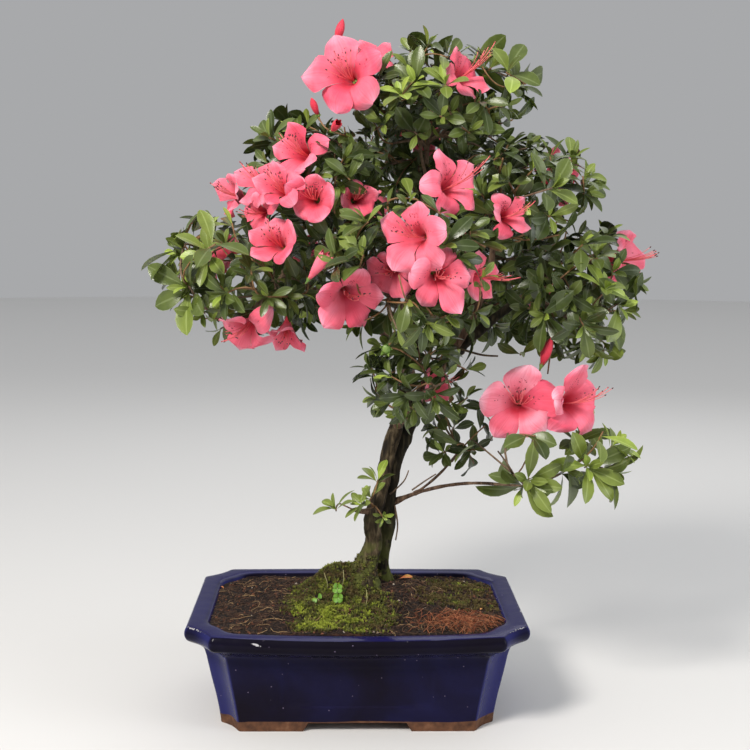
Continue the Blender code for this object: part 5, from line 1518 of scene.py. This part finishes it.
def bar_points(axis, half_low, half_high, height, reach):
    """Return a bar of slanted sides that runs across the pot's underside."""
    section = ((-half_low, -CUT_BELOW), (half_low, -CUT_BELOW), (half_low, 0.0),
               (half_high, height), (-half_high, height), (-half_low, 0.0))
    points = [Vector((half, end, level) if axis == "y" else (end, half, level))
              for end in (-reach, reach) for half, level in section]
    return points, [tuple(range(6)), tuple(range(6, 12)), *grid_faces(2, 6)]


def upright(outline, top):
    """Return a closed shape on an outline, from under the pot up to a height."""
    return loft([[Vector((*place, level)) for place in outline] for level in (-CUT_BELOW, top)])


def build_pot():
    """Make the pot: rolled lip, skirt wall, sunk panels, four feet and two drain holes."""
    panel_low, panel_high = (PANEL_HEIGHT + sign * PANEL_SIZE[1] / 2 for sign in (-1, 1))
    heights = sorted([*POT_ROWS, panel_low, panel_low + PANEL_BEVEL, panel_high - PANEL_BEVEL, panel_high])
    rings = [wall_ring(wall_inset(height), height, True) for height in heights]
    rings += [wall_ring(inset, height) for inset, height in (*LIP_TOP, *INNER_PROFILE[1:])]
    points, faces = loft(rings)
    bare = 1 + len(rings[0]) * sum(height < GLAZE_END for height in heights)
    heap = Heap()
    heap.add(points, faces, [1] * bare + [0] * (len(faces) - bare))
    glaze, clay = glaze_finish(), clay_finish()
    pot = make_piece("pot_glazed", heap, [glaze, clay], ["pot"])
    half_x, half_y = RIM_WIDTH / 2 - BASE_INSET, RIM_DEPTH / 2 - BASE_INSET
    slot_x, slot_y = half_x - FOOT_LENGTH_X, half_y - FOOT_LENGTH_Y
    pocket_x, pocket_y = half_x - FOOT_THICKNESS, half_y - FOOT_THICKNESS
    pocket = ((pocket_x, pocket_y), (-pocket_x, pocket_y), (-pocket_x, -pocket_y), (pocket_x, -pocket_y))
    turns = [math.tau * step / DRAIN_SIDES for step in range(DRAIN_SIDES)]
    drains = [[(side * DRAIN_SPREAD + DRAIN_RADIUS * math.cos(turn), DRAIN_RADIUS * math.sin(turn))
               for turn in turns] for side in (-1, 1)]
    for solid in (bar_points("y", slot_x, slot_x - FOOT_SLANT, FOOT_HEIGHT, RIM_DEPTH),
                  bar_points("x", slot_y, slot_y - FOOT_SLANT, FOOT_HEIGHT - SEAT_GAP, RIM_WIDTH),
                  upright(pocket, FOOT_HEIGHT + SEAT_GAP), *(upright(drain, DRAIN_TOP) for drain in drains)):
        cut_by(pot, solid, clay)
    pot.data.set_sharp_from_angle(angle=POT_SHARP)


def cut_by(piece, solid, material):
    """Cut a closed shape out of a piece for good; the cut faces take the given material."""
    points, faces = solid
    mesh = bpy.data.meshes.new("cutter")
    mesh.from_pydata([tuple(point + SHIFT) for point in points], [], faces)
    mesh.materials.append(material)
    shape = bmesh.new()
    shape.from_mesh(mesh)
    bmesh.ops.recalc_face_normals(shape, faces=shape.faces)
    shape.to_mesh(mesh)
    shape.free()
    cutter = bpy.data.objects.new("cutter", mesh)
    bpy.context.scene.collection.objects.link(cutter)
    modifier = piece.modifiers.new("cut", "BOOLEAN")
    modifier.operation = "DIFFERENCE"
    modifier.object = cutter
    modifier.material_mode = "TRANSFER"
    bpy.context.view_layer.update()
    evaluated = piece.evaluated_get(bpy.context.evaluated_depsgraph_get())
    done = bpy.data.meshes.new_from_object(evaluated)
    piece.modifiers.clear()
    piece.data = done
    bpy.data.objects.remove(cutter)


# Ground

def inner_inset(level):
    """Return the inset of the pot's inner wall at a height."""
    for (inset_high, high), (inset_low, low) in zip(INNER_PROFILE, INNER_PROFILE[1:]):
        if low <= level <= high:
            return inset_low + (inset_high - inset_low) * (level - low) / (high - low)
    return INNER_PROFILE[-1][0]


class Ground:
    """The soil's surface: the source's slope and mound, with crumbs of soil on it."""

    def __init__(self):
        level = SOIL_EDGE + HEAPED
        outline = fine_outline(inner_inset(level) + EDGE_GAP, MOUTH_ROUND)
        self.edge = [bowed(Vector((*place, level))) for place in outline]

    def edge_distance(self, turn):
        """Return how far the pot's wall is from the ground's centre in a direction."""
        ray = heading(turn)
        best = 1.0
        for start, end in zip(self.edge, [*self.edge[1:], self.edge[0]]):
            span = end - start
            across = ray.x * span.y - ray.y * span.x
            if abs(across) < 1e-9:
                continue
            offset = start - GROUND_CENTRE
            reach = (offset.x * span.y - offset.y * span.x) / across
            along = (offset.x * ray.y - offset.y * ray.x) / across
            if reach > 0 and -0.001 <= along <= 1.001:
                best = min(best, reach)
        return best

    def polar(self, x, y):
        """Return how far a place is from the ground's centre and how far the wall is in its direction."""
        offset = Vector((x - GROUND_CENTRE.x, y - GROUND_CENTRE.y))
        return offset.length, self.edge_distance(math.atan2(offset.y, offset.x))

    def height(self, x, y, away, reach):
        """Return the height of the ground at a place, whose polar values are away and reach."""
        share = min(1.0, max(0.0, (reach - away) / (reach - GROUND_RADIUS)))
        along = (x - MOUND_CENTRE[0]) / MOUND_REACH[0]
        across = (y - MOUND_CENTRE[1]) / MOUND_REACH[1]
        level = SOIL_EDGE + HEAPED + (GROUND - SOIL_EDGE) * share ** SOIL_RISE_POWER
        level += MOUND_HEIGHT * max(0.0, 1.0 - along ** 2 - across ** 2) ** 2
        place = Vector((x, y, 0.0))
        crumbs = sum(rise * noise.noise(place / width) for rise, width in SOIL_NOISE)
        return level + crumbs * min(1.0, 0.35 + 6 * share)

    def above(self, x, y, lift):
        """Return the place that is lifted so far above the ground."""
        return Vector((x, y, self.height(x, y, *self.polar(x, y)) + lift))

    def spot(self, rng):
        """Return a random place on the ground inside the pot's wall."""
        while True:
            x = rng.uniform(-1, 1) * RIM_WIDTH / 2
            y = rng.uniform(-1, 1) * RIM_DEPTH / 2
            away, reach = self.polar(x, y)
            if away < reach - WALL_GAP:
                return Vector((x, y, self.height(x, y, away, reach)))


def build_ground():
    """Make the soil with its crumbs, fibres, moss, seedling and fallen leaves."""
    ground = Ground()
    rng = random.Random(GROUND_SEED)
    turns = [math.tau * step / GROUND_SIDES for step in range(GROUND_SIDES)]
    rays = [(math.cos(turn), math.sin(turn), ground.edge_distance(turn)) for turn in turns]
    rings = [[GROUND_CENTRE + Vector((east * reach, north * reach, SOIL_EDGE - GROUND - depth))
              for east, north, reach in rays] for depth in SOIL_SKIRT]
    for ring in range(GROUND_RINGS):
        share = 1 - ring / GROUND_RINGS
        level = []
        for east, north, reach in rays:
            x, y = GROUND_CENTRE.x + east * reach * share, GROUND_CENTRE.y + north * reach * share
            away = Vector((x - GROUND_CENTRE.x, y - GROUND_CENTRE.y)).length
            level.append(Vector((x, y, ground.height(x, y, away, reach))))
        rings.append(level)
    heap = Heap()
    heap.add(*loft(rings))
    soil = make_piece("soil_surface", heap, [soil_finish()], ["soil"])
    soil.data.set_sharp_from_angle(angle=SOIL_SHARP)
    litter_rng = random.Random(GROUND_SEED + 1)
    for kind, fill, draws, slot, smooth in (
            ("soil_crumbs", add_crumbs, rng, "soil", False), ("soil_fibres", add_fibres, rng, "soil", True),
            ("moss", add_moss, rng, "moss", False), ("litter", add_litter, litter_rng, "leaves", True)):
        heap = Heap()
        fill(heap, ground, draws)
        make_piece(kind, heap, plain_finishes(kind), smooth=smooth)


def add_crumbs(heap, ground, rng):
    """Scatter uneven eight-sided crumbs of peat, bark and pumice."""
    for _ in range(CRUMBS):
        place = ground.spot(rng)
        size = rng.uniform(*CRUMB_SIZES) * (1.5 if rng.random() < 0.10 else 1.0)
        tint = rng.random()
        points = []
        for end in range(6):
            corner = Vector((0.0, 0.0, 0.0))
            corner[end // 2] = (-1, 1)[end % 2] * size * rng.uniform(0.6, 1.25)
            jitter = Vector([rng.uniform(-0.25, 0.25) * size for _ in range(3)])
            points.append(place + UP * size * 0.25 + corner + jitter)
        heap.add(points, CRUMB_FACES, sum(tint >= limit for limit in CRUMB_SHARES))


def add_strand(heap, places, radius, zone):
    """Add a thin strand of three sides through the given places."""
    heap.add(*tube([(place, radius) for place in places], 3), zone)


def add_fibres(heap, ground, rng):
    """Lay peat fibres: sparse all over, and a rust-red mat of longer ones at the right front."""
    (mat_x, mat_y), (reach_x, reach_y) = FIBRE_MAT
    for number in range(FIBRES):
        start = ground.spot(rng)
        in_mat = number > FIBRES * FIBRE_LOOSE
        if in_mat:
            start = Vector((mat_x + rng.gauss(0, 0.5) * reach_x, mat_y + rng.gauss(0, 0.5) * reach_y, 0.0))
            away, reach = ground.polar(start.x, start.y)
            if away > reach - FIBRE_WALL_GAP:
                continue
        turn = rng.uniform(0.0, math.tau)
        bend, length, rise = (rng.uniform(*spread) for spread in FIBRE_SPREADS[in_mat])
        places = []
        for share in (step / 5 for step in range(6)):
            x = start.x + math.cos(turn + bend * share) * length * (share - 0.5)
            y = start.y + math.sin(turn + bend * share) * length * (share - 0.5)
            places.append(ground.above(x, y, FIBRE_LIFT + rise * math.sin(math.pi * share)))
        zone = rng.choice((1, 1, 3, 3, 0)) if in_mat else 2 if rng.random() < 0.14 else 0
        add_strand(heap, places, rng.uniform(*FIBRE_RADII), zone)


def add_tuft(heap, place, outward, rng, zone):
    """Add one tuft of short pointed moss blades that stands along a direction."""
    height = rng.uniform(*BLADE_LENGTHS)
    side = outward.orthogonal().normalized()
    for _ in range(TUFT_BLADES):
        lean = rng.uniform(*BLADE_LEANS)
        out = Quaternion(outward, rng.uniform(0.0, math.tau)) @ side
        across = outward.cross(out) * rng.uniform(*BLADE_HALVES)
        tip = place + out * height * math.sin(lean) + outward * height * math.cos(lean)
        middle = place.lerp(tip, 0.5) + outward * height * 0.12
        root = place - outward * BLADE_SINK
        heap.add([root - across, root + across, middle + across, middle - across, tip],
                 [(0, 1, 2, 3), (3, 2, 4)], zone)


def moss_share(place):
    """Return how mossy the ground is at a place, from 0 to 1."""
    cover = 0.0
    for (x, y), (reach_x, reach_y), amount in MOSS_PATCHES:
        away = ((place.x - x) / reach_x) ** 2 + ((place.y - y) / reach_y) ** 2
        cover = max(cover, amount * max(0.0, 1.15 - away))
    patchy = 0.5 + 1.3 * noise.noise(Vector((place.x, place.y, 3.0)) / MOSS_PATCH_WIDTH)
    return min(1.0, cover * (0.45 + 0.75 * patchy))


def moss_zone(place, rng):
    """Return the tint of the moss at a place: fresh in the middle of the front, brown further up."""
    fresh = noise.noise(Vector((place.x, place.y, 7.0)) / MOSS_TINT_WIDTH) + rng.uniform(-0.40, 0.40)
    (x, y), reach = MOSS_FRESH
    fresh += 0.75 * math.exp(-((place.x - x) ** 2 + (place.y - y) ** 2) / reach ** 2) - 0.12
    fresh -= 0.40 * (place.x > MOSS_BROWN_FROM)
    return sum(fresh >= limit for limit in MOSS_LIMITS)


def add_moss(heap, ground, rng):
    """Grow moss in tufts, denser round the trunk's foot and up its left side."""
    placed = 0
    while placed < MOSS_TUFTS:
        place = ground.spot(rng)
        if rng.random() > moss_share(place):
            continue
        placed += 1
        add_tuft(heap, place, UP, rng, moss_zone(place, rng))
    run = plan_limbs(FINE_STEPS)["trunk_front"][0]
    reach_at = trunk_shape("trunk_front")
    for _ in range(TRUNK_TUFTS):
        centre, radius = nearest_height(run, GROUND + TRUNK_MOSS_HEIGHT * rng.random() ** 1.8)
        turn = math.radians(rng.gauss(*TRUNK_MOSS_SIDE))
        out = heading(turn)
        place = centre + out * (reach_at(centre, radius, out, turn) - TRUNK_TUFT_SINK)
        add_tuft(heap, place, (out + UP * 0.4).normalized(), rng, rng.choice((0, 0, 1, 1, 2)))


def add_stem(heap, root, to_tip, share, bend, radius):
    """Add a short stem that bends at a share of its length, and return its tip."""
    tip = root + Vector(to_tip)
    add_strand(heap, [root, root.lerp(tip, share) + Vector(bend), tip], radius, 1)
    return tip


def add_litter(heap, ground, rng):
    """Add the seedling, pale stems and fallen leaves."""
    for place, to_tip, leaflets in SEEDLING:
        tip = add_stem(heap, ground.above(*place, -STEM_SINK), to_tip, *SEEDLING_STEM)
        for turn in (math.tau * leaflet / leaflets + 0.7 for leaflet in range(leaflets)):
            ahead = Vector((math.cos(turn), -0.35, math.sin(turn))).normalized()
            leaf = (tip, ahead, Vector((0.0, -1.0, 0.35)).normalized(), *LEAFLET_SIZE)
            add_leaf(heap, leaf, 0, rng)
    for place, to_tip in PALE_STEMS:
        add_stem(heap, ground.above(*place, -STEM_SINK), to_tip, *PALE_STEM)
    for place, turn, length, zone in FALLEN:
        normal = Vector((0.1, -0.3, 0.95)).normalized()
        leaf = (ground.above(*place, FALLEN_LIFT), heading(turn, 0.12).normalized(), normal,
                length, length * 0.34, length * 0.1)
        add_leaf(heap, leaf, zone, rng)


# Stage, lights and camera

def place_in_scene(name, data):
    """Put a light or a camera into the scene."""
    made = bpy.data.objects.new(name, data)
    bpy.context.scene.collection.objects.link(made)
    return made


def build_stage():
    """Make the pale floor and soft studio light."""
    bpy.ops.mesh.primitive_circle_add(vertices=FLOOR_SIDES, radius=FLOOR_RADIUS, fill_type="NGON")
    floor = bpy.context.object
    floor.name = "floor"
    floor.data.materials.append(Finish("floor", FLOOR_COLOUR, FLOOR_ROUGHNESS).material)
    world = bpy.data.worlds.new("studio")
    world.use_nodes = True
    backdrop = world.node_tree.nodes["Background"]
    backdrop.inputs["Color"].default_value = (*WORLD_COLOUR, 1.0)
    backdrop.inputs["Strength"].default_value = WORLD_STRENGTH
    bpy.context.scene.world = world
    for name, (place, size, power, colour) in LIGHTS.items():
        light = bpy.data.lights.new(name, "AREA")
        light.shape, light.size, light.energy, light.color = "DISK", size, power, colour
        lamp = place_in_scene(name, light)
        lamp.location = place
        lamp.rotation_euler = (LIGHT_AIM - Vector(place)).to_track_quat("-Z", "Y").to_euler()


def build_camera():
    """Make the camera at the photograph's viewing angle."""
    data = bpy.data.cameras.new("camera")
    data.sensor_width = SENSOR
    data.lens = LENS_IN_PIXELS / IMAGE_WIDTH * SENSOR
    camera = place_in_scene("camera", data)
    turned = (Matrix.Rotation(-CAMERA_YAW, 4, "Z") @ Matrix.Rotation(math.pi / 2 - CAMERA_PITCH, 4, "X")
              @ Matrix.Rotation(CAMERA_ROLL, 4, "Z"))
    camera.matrix_world = Matrix.Translation(SHIFT + CAMERA_PLACE) @ turned
    bpy.context.scene.camera = camera


build_pot()
build_ground()
build_bark(plan_limbs(FINE_STEPS))
build_crown()
build_stage()
build_camera()
bpy.context.scene.view_settings.view_transform = "Standard"
